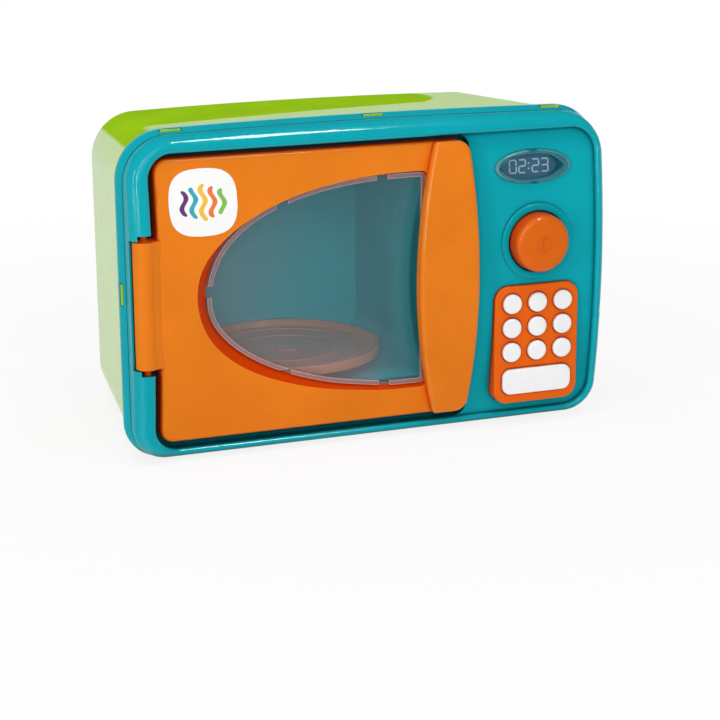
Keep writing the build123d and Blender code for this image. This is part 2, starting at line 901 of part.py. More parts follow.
# Spindle and turntable
hub_roof = 4.6
with BuildPart() as turntable_spindle:
    with Locations((turntable_x, split_y + turntable_behind, cavity_bottom - liner_wall)):
        Cylinder(spindle_flange_radius, 2.0, align=(Align.CENTER, Align.CENTER, Align.MAX))
        Cylinder(
            spindle_radius,
            liner_wall + hub_roof - clear,
            align=(Align.CENTER, Align.CENTER, Align.MIN),
        )
    chamfer(turntable_spindle.edges().sort_by(Axis.Z)[-1], 0.8)
save(turntable_spindle, "turntable_spindle")

table_bottom = cavity_bottom + turntable_underside
with BuildPart() as turntable:
    with Locations((turntable_x, split_y + turntable_behind, table_bottom)):
        Cylinder(
            turntable_radius,
            turntable_rim,
            align=(Align.CENTER, Align.CENTER, Align.MIN),
        )
        with Locations((0, 0, turntable_thickness)):
            Cone(
                turntable_radius - 4.2,
                turntable_radius - 2.0,
                turntable_rim - turntable_thickness,
                align=(Align.CENTER, Align.CENTER, Align.MIN),
                mode=Mode.SUBTRACT,
            )
    fillet(turntable.edges().filter_by(GeomType.CIRCLE).group_by(Axis.Z)[-1], 0.8)
    outer_bottom = turntable.edges().filter_by(GeomType.CIRCLE).group_by(Axis.Z)[0]
    fillet(outer_bottom, 1.2)
    with BuildSketch(Plane.XY.offset(table_bottom + turntable_thickness - 0.2)):
        with Locations((turntable_x, split_y + turntable_behind)):
            for ring in turntable_rings:
                Circle(ring + 0.8)
                Circle(ring - 0.8, mode=Mode.SUBTRACT)
            Circle(hub_radius)
    extrude(amount=0.9)
    with Locations((turntable_x, split_y + turntable_behind, cavity_bottom + turntable_floor_gap)):
        Cylinder(
            hub_radius,
            hub_roof + 1.8,
            align=(Align.CENTER, Align.CENTER, Align.MIN),
        )
        Cylinder(
            spindle_radius + spindle_clearance,
            hub_roof - turntable_floor_gap,
            align=(Align.CENTER, Align.CENTER, Align.MIN),
            mode=Mode.SUBTRACT,
        )
save(turntable, "turntable")

# Door panel with its hinge barrel, window funnel and screw posts
with BuildPart() as door_pocket:
    with BuildSketch(front_plane(door_back_reach - 1)):
        add(
            rounded_box(
                door_left + wall,
                door_right - wall,
                door_bottom + wall,
                door_top - wall,
                door_corner - wall,
            )
        )
    extrude(amount=roll_reach)
    add(door_skin_block, mode=Mode.INTERSECT)

funnel_reach = door_reach + 1
with BuildPart() as window_funnel:
    with BuildSketch(front_plane(window_ledge_reach)):
        add(inner_window(ledge_width))
    with BuildSketch(front_plane(funnel_reach)):
        add(outer_window(wall))
    loft(ruled=True)
    add(door_block, mode=Mode.INTERSECT)

with BuildPart() as window_bevel:
    with BuildSketch(front_plane(window_ledge_reach)):
        add(inner_window())
    with BuildSketch(front_plane(funnel_reach)):
        add(outer_window())
    loft(ruled=True)

pane_reach = window_ledge_reach - pane_gap
frame_reach = pane_reach - pane_thickness - pane_gap
with BuildPart() as frame_posts:
    with BuildSketch(front_plane(frame_reach)):
        with Locations(*frame_screw_places):
            Circle(frame_post_radius)
    extrude(amount=door_reach - frame_reach)
    add(behind_front(door_reach - wall / 2, bulge_radius - wall / 2, -1), mode=Mode.INTERSECT)

with BuildPart() as door_panel:
    with BuildSketch(front_plane(door_back_reach)):
        add(rounded_box(door_left, door_right, door_bottom, door_top, door_corner))
    extrude(amount=roll_reach)
    add(door_block, mode=Mode.INTERSECT)
    door_front = door_panel.faces().sort_by(Axis.Y)[0]
    fillet(door_front.outer_wire().edges(), door_edge_radius)
    add(door_pocket.part, mode=Mode.SUBTRACT)
    add(window_funnel.part)
    add(frame_posts.part)
    with BuildSketch(front_plane(handle_seat_reach)):
        with Locations(*handle_screw_places):
            Circle(post_radius)
    extrude(amount=bulge(door_reach - wall, handle_screw_places[0][1]) + 1 - handle_seat_reach)
    with BuildSketch(front_plane(catch_head_reach + clear / 3)):
        with Locations((catch_x - 1.5, catch_z)):
            Rectangle(5, 16)
    extrude(amount=door_reach - wall + 0.5 - catch_head_reach)
    add(window_bevel.part, mode=Mode.SUBTRACT)
    # Hinge barrel, its web and two pins
    with BuildSketch(Plane.XY.offset(barrel_middle)):
        with BuildLine():
            Polyline(
                (hinge_x, split_y - hinge_reach - barrel_radius),
                (hinge_x, split_y - hinge_reach + barrel_radius),
                (door_left + wall, split_y - hinge_reach + barrel_radius),
                (door_left + wall, split_y - hinge_reach - 0.6),
                (door_left + 5, split_y - door_reach + 2.3),
                close=True,
            )
        make_face()
        with Locations((hinge_x, split_y - hinge_reach)):
            Circle(barrel_radius)
    extrude(amount=barrel_height / 2, both=True)
    for way in (-1, 1):
        end = barrel_middle + way * barrel_height / 2
        with Locations(Plane((hinge_x, split_y - hinge_reach, end), z_dir=(0, 0, way))):
            Cone(
                pin_root_radius,
                pin_radius,
                pin_cone,
                align=(Align.CENTER, Align.CENTER, Align.MIN),
            )
            Cylinder(pin_radius, pin_length, align=(Align.CENTER, Align.CENTER, Align.MIN))
    # Screw holes
    with BuildSketch(front_plane(frame_reach)):
        with Locations(*frame_screw_places):
            Circle(screw_shank + pilot_gap)
    extrude(amount=frame_screw_bite + 0.3, mode=Mode.SUBTRACT)
    with BuildSketch(front_plane(0)):
        with Locations(*handle_screw_places):
            Circle(screw_shank + clear)
    extrude(amount=roll_reach, mode=Mode.SUBTRACT)
save(door_panel, "door_panel")

# Door handle: hollow, lens-shaped grip with two screw posts
def handle_outline(inset):
    """Outline of the handle between its two bowed sides."""
    top = door_top - inset
    bottom = door_bottom + 0.2 + inset
    middle = (door_top + door_bottom) / 2
    left_end = handle_left(door_top) + inset
    right_end = handle_right_middle - handle_right_bow - inset
    with BuildSketch() as face:
        with BuildLine():
            ThreePointArc((left_end, bottom), (handle_left_middle + inset, middle), (left_end, top))
            Line((left_end, top), (right_end, top))
            ThreePointArc(
                (right_end, top),
                (handle_right_middle - inset, middle),
                (right_end, bottom),
            )
            Line((right_end, bottom), (left_end, bottom))
        make_face()
        right = face.vertices().filter_by(lambda vertex: vertex.X > left_end + 1)
        fillet(right, door_corner - inset)
        left = face.vertices().filter_by(lambda vertex: vertex.X < left_end + 1)
        fillet(left, max(handle_left_corner - inset, 0.5))
    return face.sketch


handle_bulge = ((door_top - door_bottom) / 2) ** 2 / (2 * handle_end_drop)
handle_back = behind_front(door_reach + handle_gap, bulge_radius, -1)
with BuildPart() as handle_hollow:
    with BuildSketch(front_plane(0)):
        add(handle_outline(wall))
    extrude(amount=handle_reach)
    add(behind_front(handle_reach - wall, handle_bulge - wall, -1), mode=Mode.INTERSECT)

with BuildPart() as door_handle:
    with BuildSketch(front_plane(0)):
        add(handle_outline(0))
    extrude(amount=handle_reach)
    add(behind_front(handle_reach, handle_bulge, -1), mode=Mode.INTERSECT)
    grip = door_handle.faces().sort_by(Axis.Y)[0]
    fillet(grip.outer_wire().edges(), handle_edge_radius)
    add(handle_hollow.part, mode=Mode.SUBTRACT)
    with BuildSketch(front_plane(handle_seat_reach)):
        with Locations(*handle_screw_places):
            Circle(post_radius)
    extrude(amount=handle_reach - wall - 3 - handle_seat_reach)
    add(handle_back, mode=Mode.SUBTRACT)
    with BuildSketch(front_plane(handle_seat_reach)):
        with Locations(*handle_screw_places):
            Circle(screw_shank + pilot_gap)
    extrude(amount=handle_screw_length + 0.5, mode=Mode.SUBTRACT)
save(door_handle, "door_handle")

# Window pane with its raised rim, notched in five places
with BuildPart() as door_window:
    with BuildSketch(front_plane(pane_reach)):
        add(inner_window(pane_lap))
    extrude(amount=-pane_thickness)
    with BuildSketch(front_plane(pane_reach)):
        add(inner_window(-0.3))
        add(inner_window(-0.3 - pane_rim_width), mode=Mode.SUBTRACT)
        with Locations(*pane_notch_places):
            Rectangle(pane_notch, pane_notch, mode=Mode.SUBTRACT)
    extrude(amount=pane_rim_height)
save(door_window, "door_window")

# Inner frame that holds the pane
with BuildPart() as door_inner_frame:
    with BuildSketch(front_plane(frame_reach)):
        add(
            rounded_box(
                door_left + wall + 0.4,
                door_right - wall - 0.4,
                door_bottom + wall + 0.4,
                door_top - wall - 0.4,
                door_corner - wall - 0.4,
            )
        )
        add(inner_window(-0.4), mode=Mode.SUBTRACT)
    extrude(amount=-frame_thickness)
    with BuildSketch(front_plane(frame_reach)):
        with Locations(*frame_screw_places):
            Circle(screw_shank + clear)
        with Locations((catch_x, catch_z)):
            Rectangle(catch_thickness + 0.2, catch_height + 0.2)
    extrude(amount=-frame_thickness, mode=Mode.SUBTRACT)
    with BuildSketch(front_plane(frame_reach - frame_thickness)):
        with Locations(*frame_screw_places):
            Circle(screw_head + clear)
    extrude(amount=frame_head_sink, mode=Mode.SUBTRACT)
save(door_inner_frame, "door_inner_frame")

# Sticker on the door
with BuildPart() as door_badge:
    with BuildSketch(front_plane(0)):
        with BuildLine():
            rounds = 24
            soft = 2 / 2.9
            corners = []
            for step in range(rounds):
                angle = 2 * math.pi * (step + 0.5) / rounds
                across = badge_width / 2 * math.copysign(abs(math.cos(angle)) ** soft, math.cos(angle))
                above = badge_height / 2 * math.copysign(abs(math.sin(angle)) ** soft, math.sin(angle))
                corners.append((badge_x + across, badge_z + above))
            Spline(*corners, periodic=True)
        make_face()
    extrude(amount=roll_reach)
    add(behind_front(door_reach + badge_thickness, bulge_radius + badge_thickness, 0), mode=Mode.INTERSECT)
    add(door_block, mode=Mode.SUBTRACT)
save(door_badge, "door_badge")

# Door catch: a tongue with a wide head, trapped between the door and the inner frame
with BuildPart() as door_catch:
    with BuildSketch(front_plane(catch_head_reach)):
        with Locations((catch_x - 1.5, catch_z)):
            Rectangle(6.6, 18)
    extrude(amount=frame_reach - catch_head_reach)
    with BuildSketch(front_plane(frame_reach)):
        with Locations((catch_x, catch_z)):
            Rectangle(catch_thickness, catch_height)
    extrude(amount=catch_tip_reach - frame_reach)
    tip = door_catch.faces().sort_by(Axis.Y)[-1]
    chamfer(tip.edges().filter_by(Axis.Z), 0.8)
save(door_catch, "door_catch")

# Spring clip that the tongue snaps past
clip_thickness = 0.8
clip_x = catch_x + catch_thickness / 2 + 1.6
with BuildPart() as catch_clip:
    with BuildSketch(front_plane(ear_reach)):
        with Locations((catch_screw_place[0] + 0.2, catch_z + 12.5)):
            Rectangle(8.2, 21 + 12)
        with Locations(catch_screw_place):
            Circle(screw_shank + 0.15, mode=Mode.SUBTRACT)
    extrude(amount=-clip_thickness)
    with BuildSketch(Plane.XY.offset(catch_z - 4)):
        with BuildLine():
            Polyline(
                (clip_x + 2.2, split_y - ear_reach + 0.1),
                (clip_x + 2.2, split_y - 6.0),
                (clip_x + 0.4, split_y - 6.0),
                (clip_x, split_y - 4.8),
                (clip_x + 1.4, split_y - 3.4),
                (clip_x + 1.4, split_y - ear_reach + 0.1),
                close=True,
            )
        make_face()
    extrude(amount=8)
save(catch_clip, "catch_clip")

# Display: lens, card and frame
with BuildPart() as display_lens:
    with BuildSketch(display_plane.offset(-1.2)):
        Ellipse(display_width / 2, display_height / 2)
    extrude(amount=1.2 + lens_proud)
    lens_top = display_lens.faces().sort_by(Axis.Y)[0]
    fillet(lens_top.edges(), lens_proud - 0.1)
save(display_lens, "display_lens")

with BuildPart() as display_card:
    with BuildSketch(display_plane.offset(-cup_depth)):
        Ellipse(display_card_width / 2 + 2, display_card_height / 2 + 2)
    extrude(amount=-card_thickness)
save(display_card, "display_card")

with BuildPart() as display_frame:
    with BuildSketch(display_plane.offset(-cup_depth - 1)):
        Rectangle(2 * display_screw_offset, 2 * post_radius)
        Ellipse(display_width / 2 + 2, display_height / 2 + 2)
        with Locations((-display_screw_offset, 0), (display_screw_offset, 0)):
            Circle(post_radius)
            Circle(screw_shank + clear, mode=Mode.SUBTRACT)
    extrude(amount=-2)
    with BuildSketch(display_plane.offset(-cup_depth - 1)):
        Ellipse(display_card_width / 2 + 3.5, display_card_height / 2 + 3.5)
        Ellipse(display_card_width / 2 + 2.1, display_card_height / 2 + 2.1, mode=Mode.SUBTRACT)
    extrude(amount=0.9)
    with BuildSketch(display_plane.offset(-cup_depth - 1)):
        Ellipse(display_card_width / 2, display_card_height / 2)
    extrude(amount=1 - card_thickness)
save(display_frame, "display_frame")

# Knob, its shaft and the click wheel
knob_back_reach = knob_floor_reach + knob_back_gap
shaft_top_reach = knob_reach - 3.4
with BuildPart() as knob:
    with BuildSketch(front_plane(knob_back_reach)):
        with Locations((control_x, knob_z)):
            Circle(knob_radius)
    extrude(amount=knob_reach - knob_back_reach, taper=1.2)
    knob_front = knob.faces().sort_by(Axis.Y)[0]
    fillet(knob_front.edges(), knob_edge_radius)
    with BuildSketch(front_plane(knob_back_reach)):
        with Locations((control_x, knob_z)):
            Circle(knob_radius - wall)
            Circle(shaft_radius + 2.4, mode=Mode.SUBTRACT)
    extrude(amount=shaft_top_reach - 1 - knob_back_reach, mode=Mode.SUBTRACT)
    with BuildSketch(front_plane(knob_back_reach)):
        with Locations((control_x, knob_z)):
            Circle(shaft_radius)
    extrude(amount=shaft_top_reach - knob_back_reach, mode=Mode.SUBTRACT)
save(knob, "knob")

wheel_front = click_boss_reach
wheel_back = wheel_front - ratchet_thickness
with BuildPart() as knob_shaft:
    with BuildSketch(front_plane(wheel_front)):
        with Locations((control_x, knob_z)):
            Circle(shaft_radius)
    extrude(amount=shaft_top_reach - wheel_front)
    with BuildSketch(front_plane(wheel_back)):
        with Locations((control_x, knob_z)):
            Rectangle(shaft_flats, shaft_flats)
    extrude(amount=ratchet_thickness)
    with BuildSketch(front_plane(wheel_back)):
        with Locations((control_x, knob_z)):
            Circle(screw_shank + pilot_gap)
    extrude(amount=9.5, mode=Mode.SUBTRACT)
save(knob_shaft, "knob_shaft")

with BuildPart() as ratchet_wheel:
    with BuildSketch(front_plane(wheel_back)):
        with Locations((control_x, knob_z)):
            Circle(ratchet_radius)
            with PolarLocations(ratchet_radius, ratchet_teeth, start_angle=ratchet_start):
                Rectangle(2 * ratchet_notch, ratchet_notch, rotation=45, mode=Mode.SUBTRACT)
            Rectangle(shaft_flats, shaft_flats, mode=Mode.SUBTRACT)
    extrude(amount=ratchet_thickness)
save(ratchet_wheel, "ratchet_wheel")

with BuildPart() as knob_washer:
    with BuildSketch(front_plane(wheel_back)):
        with Locations((control_x, knob_z)):
            Circle(5)
            Circle(screw_shank + 0.2, mode=Mode.SUBTRACT)
    extrude(amount=-washer_thickness)
save(knob_washer, "knob_washer")

# Click spring: a leaf with a rounded nose beside the wheel
leaf = 0.8
nose_x = control_x - ratchet_radius - clear
leaf_x = nose_x - 2.6
with BuildPart() as click_spring:
    with BuildSketch(front_plane(click_boss_reach)):
        with Locations((click_screw_place[0] + 0.4, click_screw_place[1])):
            Rectangle(leaf_x - click_screw_place[0] + post_radius + leaf / 2, 2 * post_radius - 0.6)
        with Locations(click_screw_place):
            Circle(screw_shank + 0.15, mode=Mode.SUBTRACT)
    extrude(amount=-leaf)
    with BuildSketch(front_plane(click_boss_reach)):
        with Locations((leaf_x, (click_screw_place[1] - post_radius + 0.3 + knob_z + 5) / 2)):
            Rectangle(leaf, knob_z + 5 - click_screw_place[1] + post_radius - 0.3)
        with Locations((nose_x - 2.0, knob_z)):
            Circle(2.0)
            with Locations((-1.9, 0)):
                Rectangle(2.2, 8, mode=Mode.SUBTRACT)
    extrude(amount=-ratchet_thickness + 0.2)
save(click_spring, "click_spring")

# Keypad plate with its side walls and rear flange
flange_back_reach = keypad_back_reach
key_places = {}
for number in range(1, 10):
    row, column = divmod(number - 1, 3)
    key_places[number] = (
        control_x + (column - 1) * key_column_pitch,
        key_middle_z + (1 - row) * key_row_pitch,
    )
start_stems = [(control_x - start_stem_spacing / 2, start_key_z), (control_x + start_stem_spacing / 2, start_key_z)]

with BuildPart() as keypad_plate:
    with BuildSketch(front_plane(flange_back_reach)):
        with Locations((control_x, keypad_z)):
            RectangleRounded(keypad_width, keypad_height, keypad_corner)
    extrude(amount=keypad_reach - flange_back_reach)
    plate_front = keypad_plate.faces().sort_by(Axis.Y)[0]
    fillet(plate_front.edges(), keypad_edge_radius)
    with BuildSketch(front_plane(flange_back_reach)):
        with Locations((control_x, keypad_z)):
            RectangleRounded(
                keypad_width + 2 * keypad_lip,
                keypad_height + 2 * keypad_lip,
                keypad_corner + keypad_lip,
            )
        for end in (-1, 1):
            with Locations((control_x, keypad_z + end * 27.9)):
                Rectangle(2 * keypad_ear, 2 * post_radius)
        with Locations(*keypad_screw_places):
            Circle(post_radius)
    extrude(amount=flange_reach - flange_back_reach)
    with BuildSketch(front_plane(flange_back_reach)):
        with Locations((control_x, keypad_z)):
            RectangleRounded(
                keypad_width - 2 * keypad_wall,
                keypad_height - 2 * keypad_wall,
                keypad_corner - keypad_wall,
            )
    extrude(amount=keypad_reach - keypad_wall - flange_back_reach, mode=Mode.SUBTRACT)
    with BuildSketch(front_plane(0)):
        with Locations(*key_places.values()):
            Circle(key_radius + key_gap)
        with Locations((control_x, start_key_z)):
            RectangleRounded(
                start_key_width + 2 * key_gap,
                start_key_height + 2 * key_gap,
                start_key_corner + key_gap,
            )
    extrude(amount=knob_reach, mode=Mode.SUBTRACT)
    with BuildSketch(front_plane(0)):
        with Locations(*keypad_screw_places):
            Circle(screw_shank + clear)
    extrude(amount=flange_reach + 0.5, mode=Mode.SUBTRACT)
save(keypad_plate, "keypad_plate")

with BuildPart() as key_retainer:
    with BuildSketch(front_plane(flange_back_reach)):
        with Locations((control_x, keypad_z)):
            RectangleRounded(
                keypad_width + 2 * keypad_lip,
                keypad_height + 2 * keypad_lip,
                keypad_corner + keypad_lip,
            )
        for end in (-1, 1):
            with Locations((control_x, keypad_z + end * 27.9)):
                Rectangle(2 * keypad_ear, 2 * post_radius)
        with Locations(*keypad_screw_places):
            Circle(post_radius)
            Circle(screw_shank + clear, mode=Mode.SUBTRACT)
        with Locations(*key_places.values(), *start_stems):
            Circle(stem_radius + stem_clearance, mode=Mode.SUBTRACT)
    extrude(amount=-retainer_thickness)
save(key_retainer, "key_retainer")

# Keys and their return springs
key_seat_reach = keypad_reach - keypad_wall - key_rest_gap
key_back_reach = key_seat_reach - key_flange_thickness
stem_end_reach = flange_back_reach - retainer_thickness - stem_tail
spring_start = flange_back_reach + spring_wire
spring_end = key_back_reach - clear - spring_wire
spring_pitch = (spring_end - spring_start) / spring_turns


def coil(x, z):
    """Return spring of a key, standing on the retainer."""
    with BuildPart() as wound:
        with BuildLine() as path:
            Helix(
                pitch=spring_pitch,
                height=spring_end - spring_start,
                radius=spring_radius,
                center=(x, split_y - spring_start, z),
                direction=(0, -1, 0),
            )
        with BuildSketch(Plane(origin=path.line @ 0, z_dir=path.line % 0)):
            Circle(spring_wire)
        sweep()
    return wound.part


def round_key(x, z):
    """Round key with a flange and a guide stem."""
    with BuildPart() as cap:
        with BuildSketch(front_plane(key_back_reach)):
            with Locations((x, z)):
                Circle(key_flange_radius)
        extrude(amount=key_flange_thickness)
        with BuildSketch(front_plane(key_back_reach)):
            with Locations((x, z)):
                Circle(key_radius)
        extrude(amount=keypad_reach + key_proud - key_back_reach)
        front = cap.faces().sort_by(Axis.Y)[0]
        fillet(front.edges(), key_edge_radius)
        with BuildSketch(front_plane(stem_end_reach)):
            with Locations((x, z)):
                Circle(stem_radius)
        extrude(amount=key_back_reach - stem_end_reach)
    return cap.part


for number, (x, z) in key_places.items():
    with BuildPart() as key:
        add(round_key(x, z))
    save(key, f"key_{number}")
    with BuildPart() as key_spring:
        add(coil(x, z))
    save(key_spring, f"key_spring_{number}")

with BuildPart() as key_start:
    with BuildSketch(front_plane(key_back_reach)):
        with Locations((control_x, start_key_z)):
            RectangleRounded(
                start_key_width + 2.2,
                start_key_height + 2.2,
                start_key_corner + 1.1,
            )
    extrude(amount=key_flange_thickness)
    with BuildSketch(front_plane(key_back_reach)):
        with Locations((control_x, start_key_z)):
            RectangleRounded(start_key_width, start_key_height, start_key_corner)
    extrude(amount=keypad_reach + key_proud - key_back_reach)
    start_front = key_start.faces().sort_by(Axis.Y)[0]
    fillet(start_front.edges(), key_edge_radius)
    with BuildSketch(front_plane(stem_end_reach)):
        with Locations(*start_stems):
            Circle(stem_radius)
    extrude(amount=key_back_reach - stem_end_reach)
save(key_start, "key_start")

with BuildPart() as key_spring_start:
    for x, z in start_stems:
        add(coil(x, z))
save(key_spring_start, "key_spring_start")

# Screws: each group is one node
def screw_group(name, reach, places, length, plane=None):
    """Screws driven forwards, their heads seated at a reach."""
    pattern = screw(length)
    with BuildPart(mode=Mode.PRIVATE) as group:
        for x, z in places:
            seat = plane or back_plane(reach)
            spot = seat.location * Location((-x if plane is None else x, z, 0))
            add(pattern.moved(spot))
    save(group, name)


screw_group(
    "casing_screws",
    -tower_behind - tower_gap - tower_seat,
    casing_screw_places,
    tower_seat + tower_gap + casing_screw_bite,
)
screw_group("liner_screws", ear_reach - liner_wall, ear_places, liner_wall + door_floor_reach - 1.4 - ear_reach)
screw_group("catch_clip_screw", ear_reach - clip_thickness, [catch_screw_place], 6.4)
screw_group(
    "keypad_screws",
    flange_back_reach - retainer_thickness,
    keypad_screw_places,
    retainer_thickness + flange_reach - flange_back_reach + keypad_screw_bite,
)
screw_group("click_spring_screw", click_boss_reach - leaf, [click_screw_place], 5.8)
screw_group(
    "door_frame_screws",
    frame_reach - frame_thickness + frame_head_sink,
    frame_screw_places,
    frame_thickness - frame_head_sink + frame_screw_bite,
)
screw_group("handle_screws", handle_seat_reach, handle_screw_places, handle_screw_length)
screw_group("knob_screw", wheel_back - washer_thickness, [(control_x, knob_z)], 9.0)
display_screw_plane = Plane(
    origin=display_plane.offset(-cup_depth - 3).origin,
    x_dir=-display_plane.x_dir,
    z_dir=-display_plane.z_dir,
)
screw_group(
    "display_screws",
    0,
    [(-display_screw_offset, 0), (display_screw_offset, 0)],
    7.0,
    display_screw_plane,
)
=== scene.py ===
"""Finishes, printed details, lights and camera for a toy microwave oven.

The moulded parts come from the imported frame. This file gives each of them its plastic, steel,
print or clear finish, and adds the two pieces that are made here: the turned knob with its soft
shoulder, and the figures on the display.
"""

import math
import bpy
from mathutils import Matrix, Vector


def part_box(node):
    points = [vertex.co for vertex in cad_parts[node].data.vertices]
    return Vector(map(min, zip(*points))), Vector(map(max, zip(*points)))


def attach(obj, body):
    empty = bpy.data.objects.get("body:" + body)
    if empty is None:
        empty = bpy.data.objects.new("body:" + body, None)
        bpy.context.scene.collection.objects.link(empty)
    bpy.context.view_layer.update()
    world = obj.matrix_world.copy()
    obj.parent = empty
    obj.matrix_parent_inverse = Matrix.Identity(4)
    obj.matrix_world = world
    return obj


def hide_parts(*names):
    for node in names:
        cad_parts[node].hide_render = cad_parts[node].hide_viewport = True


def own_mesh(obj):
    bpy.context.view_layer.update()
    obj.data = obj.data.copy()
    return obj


bl_info = {
    "name": "Toy microwave finishes",
    "version": (1, 0, 0),
    "blender": (4, 5, 0),
    "location": "3D View > Sidebar > Toy oven",
    "description": "Dresses the toy microwave: plastics, steel, print, figures, knob, keys, studio",
    "category": "Object",
}

import bmesh
import bpy
from bpy.props import (
    FloatProperty,
    FloatVectorProperty,
    IntProperty,
    PointerProperty,
    StringProperty,
)
from mathutils import Matrix, Vector

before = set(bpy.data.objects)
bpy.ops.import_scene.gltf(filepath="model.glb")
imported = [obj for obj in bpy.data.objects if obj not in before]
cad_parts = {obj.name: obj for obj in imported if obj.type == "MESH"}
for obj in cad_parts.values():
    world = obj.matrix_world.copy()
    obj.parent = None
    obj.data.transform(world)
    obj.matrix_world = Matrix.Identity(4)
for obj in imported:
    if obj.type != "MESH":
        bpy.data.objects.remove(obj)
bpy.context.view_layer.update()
KNOB_LOW, KNOB_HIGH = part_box("knob")
CARD_LOW, CARD_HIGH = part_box("display_card")
BADGE_LOW, BADGE_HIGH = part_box("door_badge")
MM = 0.001
TO_MM = 1000.0

# The front bulges as part of a lying cylinder, and the display sits that far above its crest
BULGE_RADIUS = 0.484
DISPLAY_RISE = 0.0621
DISPLAY_TILT = math.asin(DISPLAY_RISE / BULGE_RADIUS)

# Colours of the parts that are hidden inside, of what shines through the clear ones, and of the
# studio
WHITE = (1.0, 1.0, 1.0)
TABLE_PAPER = (0.96, 0.96, 0.96)
PANE_TINT = (0.93, 0.97, 0.98)
LENS_TINT = (0.95, 0.98, 1.0)
ZINC = (0.58, 0.58, 0.60)
SPRING_STEEL = (0.62, 0.62, 0.65)
INNER_GREY = (0.42, 0.43, 0.44)
NYLON = (0.72, 0.71, 0.66)

# Segments of each figure: a top, b upper right, c lower right, d bottom, e lower left,
# f upper left, g middle. SEGMENT_GAP is what a segment leaves free at each end, and the colon
# takes COLON_STEP of the line, of which COLON_ROOM counts when the line is centred.
SEGMENTS = {
    "0": "abcdef",
    "1": "bc",
    "2": "abged",
    "3": "abgcd",
    "4": "fgbc",
    "5": "afgcd",
    "6": "afgedc",
    "7": "abc",
    "8": "abcdefg",
    "9": "abcfgd",
}
SEGMENT_GAP = 0.62 * MM
FIGURE_GAP = 1.75 * MM
COLON_ROOM = 2.0 * MM
COLON_STEP = 2.7 * MM
COLON_SHIFT = 0.4 * MM
COLON_RISE = 1.6 * MM
COLON_DOT = 1.1 * MM
DOT_HALF_LENGTH = 0.02 * MM
INK_LIFT = 0.02 * MM
INK_THICKNESS = 0.12 * MM
ROUND_END_STEPS = 8

# Profile of the knob in millimetres. The skirt is measured from the knob's full radius and from
# its back, and the raised ring from the middle of the ring and from the knob's front. KNOB_FOOT
# is where the side meets the skirt: out from the side, and up from the back.
KNOB_SKIRT = ((-1.9, 8.0), (-1.8, 0.3), (-1.5, 0.0), (-0.3, 0.0), (0.0, 0.3))
KNOB_RING = (
    (0.9, 0.03),
    (0.42, 0.04),
    (0.3, 0.1),
    (0.2, 0.5),
    (0.08, 0.55),
    (-0.35, 0.55),
    (-0.45, 0.5),
    (-0.55, 0.1),
    (-0.7, 0.04),
    (-1.2, 0.04),
)
KNOB_RING_HEIGHT = 0.55 * MM
KNOB_SIDE_INSET = 0.25 * MM
KNOB_FOOT = (0.1 * MM, 3.0 * MM)
KNOB_CROWN = 0.04 * MM
KNOB_CROWN_START = 0.5
SHOULDER_STEPS = 12
SHOULDER_FLATNESS = 0.8
KNOB_BAR_HALF = 2.3 * MM
KNOB_BAR_WIDTH = 1.0 * MM
KNOB_BAR_HEIGHT = 0.54 * MM

# Lamps: name, place, target, width and height, all in metres, and the rays that don't see it
LAMPS = (
    ("overhead_strip", (-0.15, -0.40, 1.6), (0, 0, 0.1), 1.1, 0.24, "visible_glossy"),
    ("gloss_streak", (0.465, -1.2, 1.5), (0, 0, 0.1), 0.2, 0.8, "visible_diffuse"),
    ("edge_streak", (-0.95, -1.85, 0.42), (0, 0, 0.12), 0.10, 0.7, "visible_diffuse"),
    ("left_strip", (-1.5, -0.9, 0.5), (0, 0, 0.1), 0.07, 0.9, None),
    ("front_softbox", (-0.5, -2.1, 1.0), (0, 0, 0.1), 1.4, 1.0, None),
)
TABLE_HALF_WIDTH = 4.0
TABLE_DROP = 0.0001
CAMERA_PLACE = (-0.40902, -1.13576, 0.37557)
CAMERA_FORWARD = (0.33588755, 0.90135315, -0.27338993)
CAMERA_RIGHT = (0.93664206, -0.35026461, -0.0040444)
LENS_LENGTH = 100.0
SENSOR_WIDTH = 36.0
NEAREST_SEEN = 0.01
FURTHEST_SEEN = 20.0


def colour_property(name, description, value):
    return FloatVectorProperty(
        name=name,
        description=description,
        subtype="COLOR",
        size=3,
        min=0.0,
        max=1.0,
        default=value,
    )


def length_property(name, description, value):
    return FloatProperty(
        name=name,
        description=description,
        subtype="DISTANCE",
        unit="LENGTH",
        min=0.0,
        default=value,
    )


def power_property(name, description, value):
    return FloatProperty(
        name=name, description=description, unit="POWER", min=0.0, default=value
    )


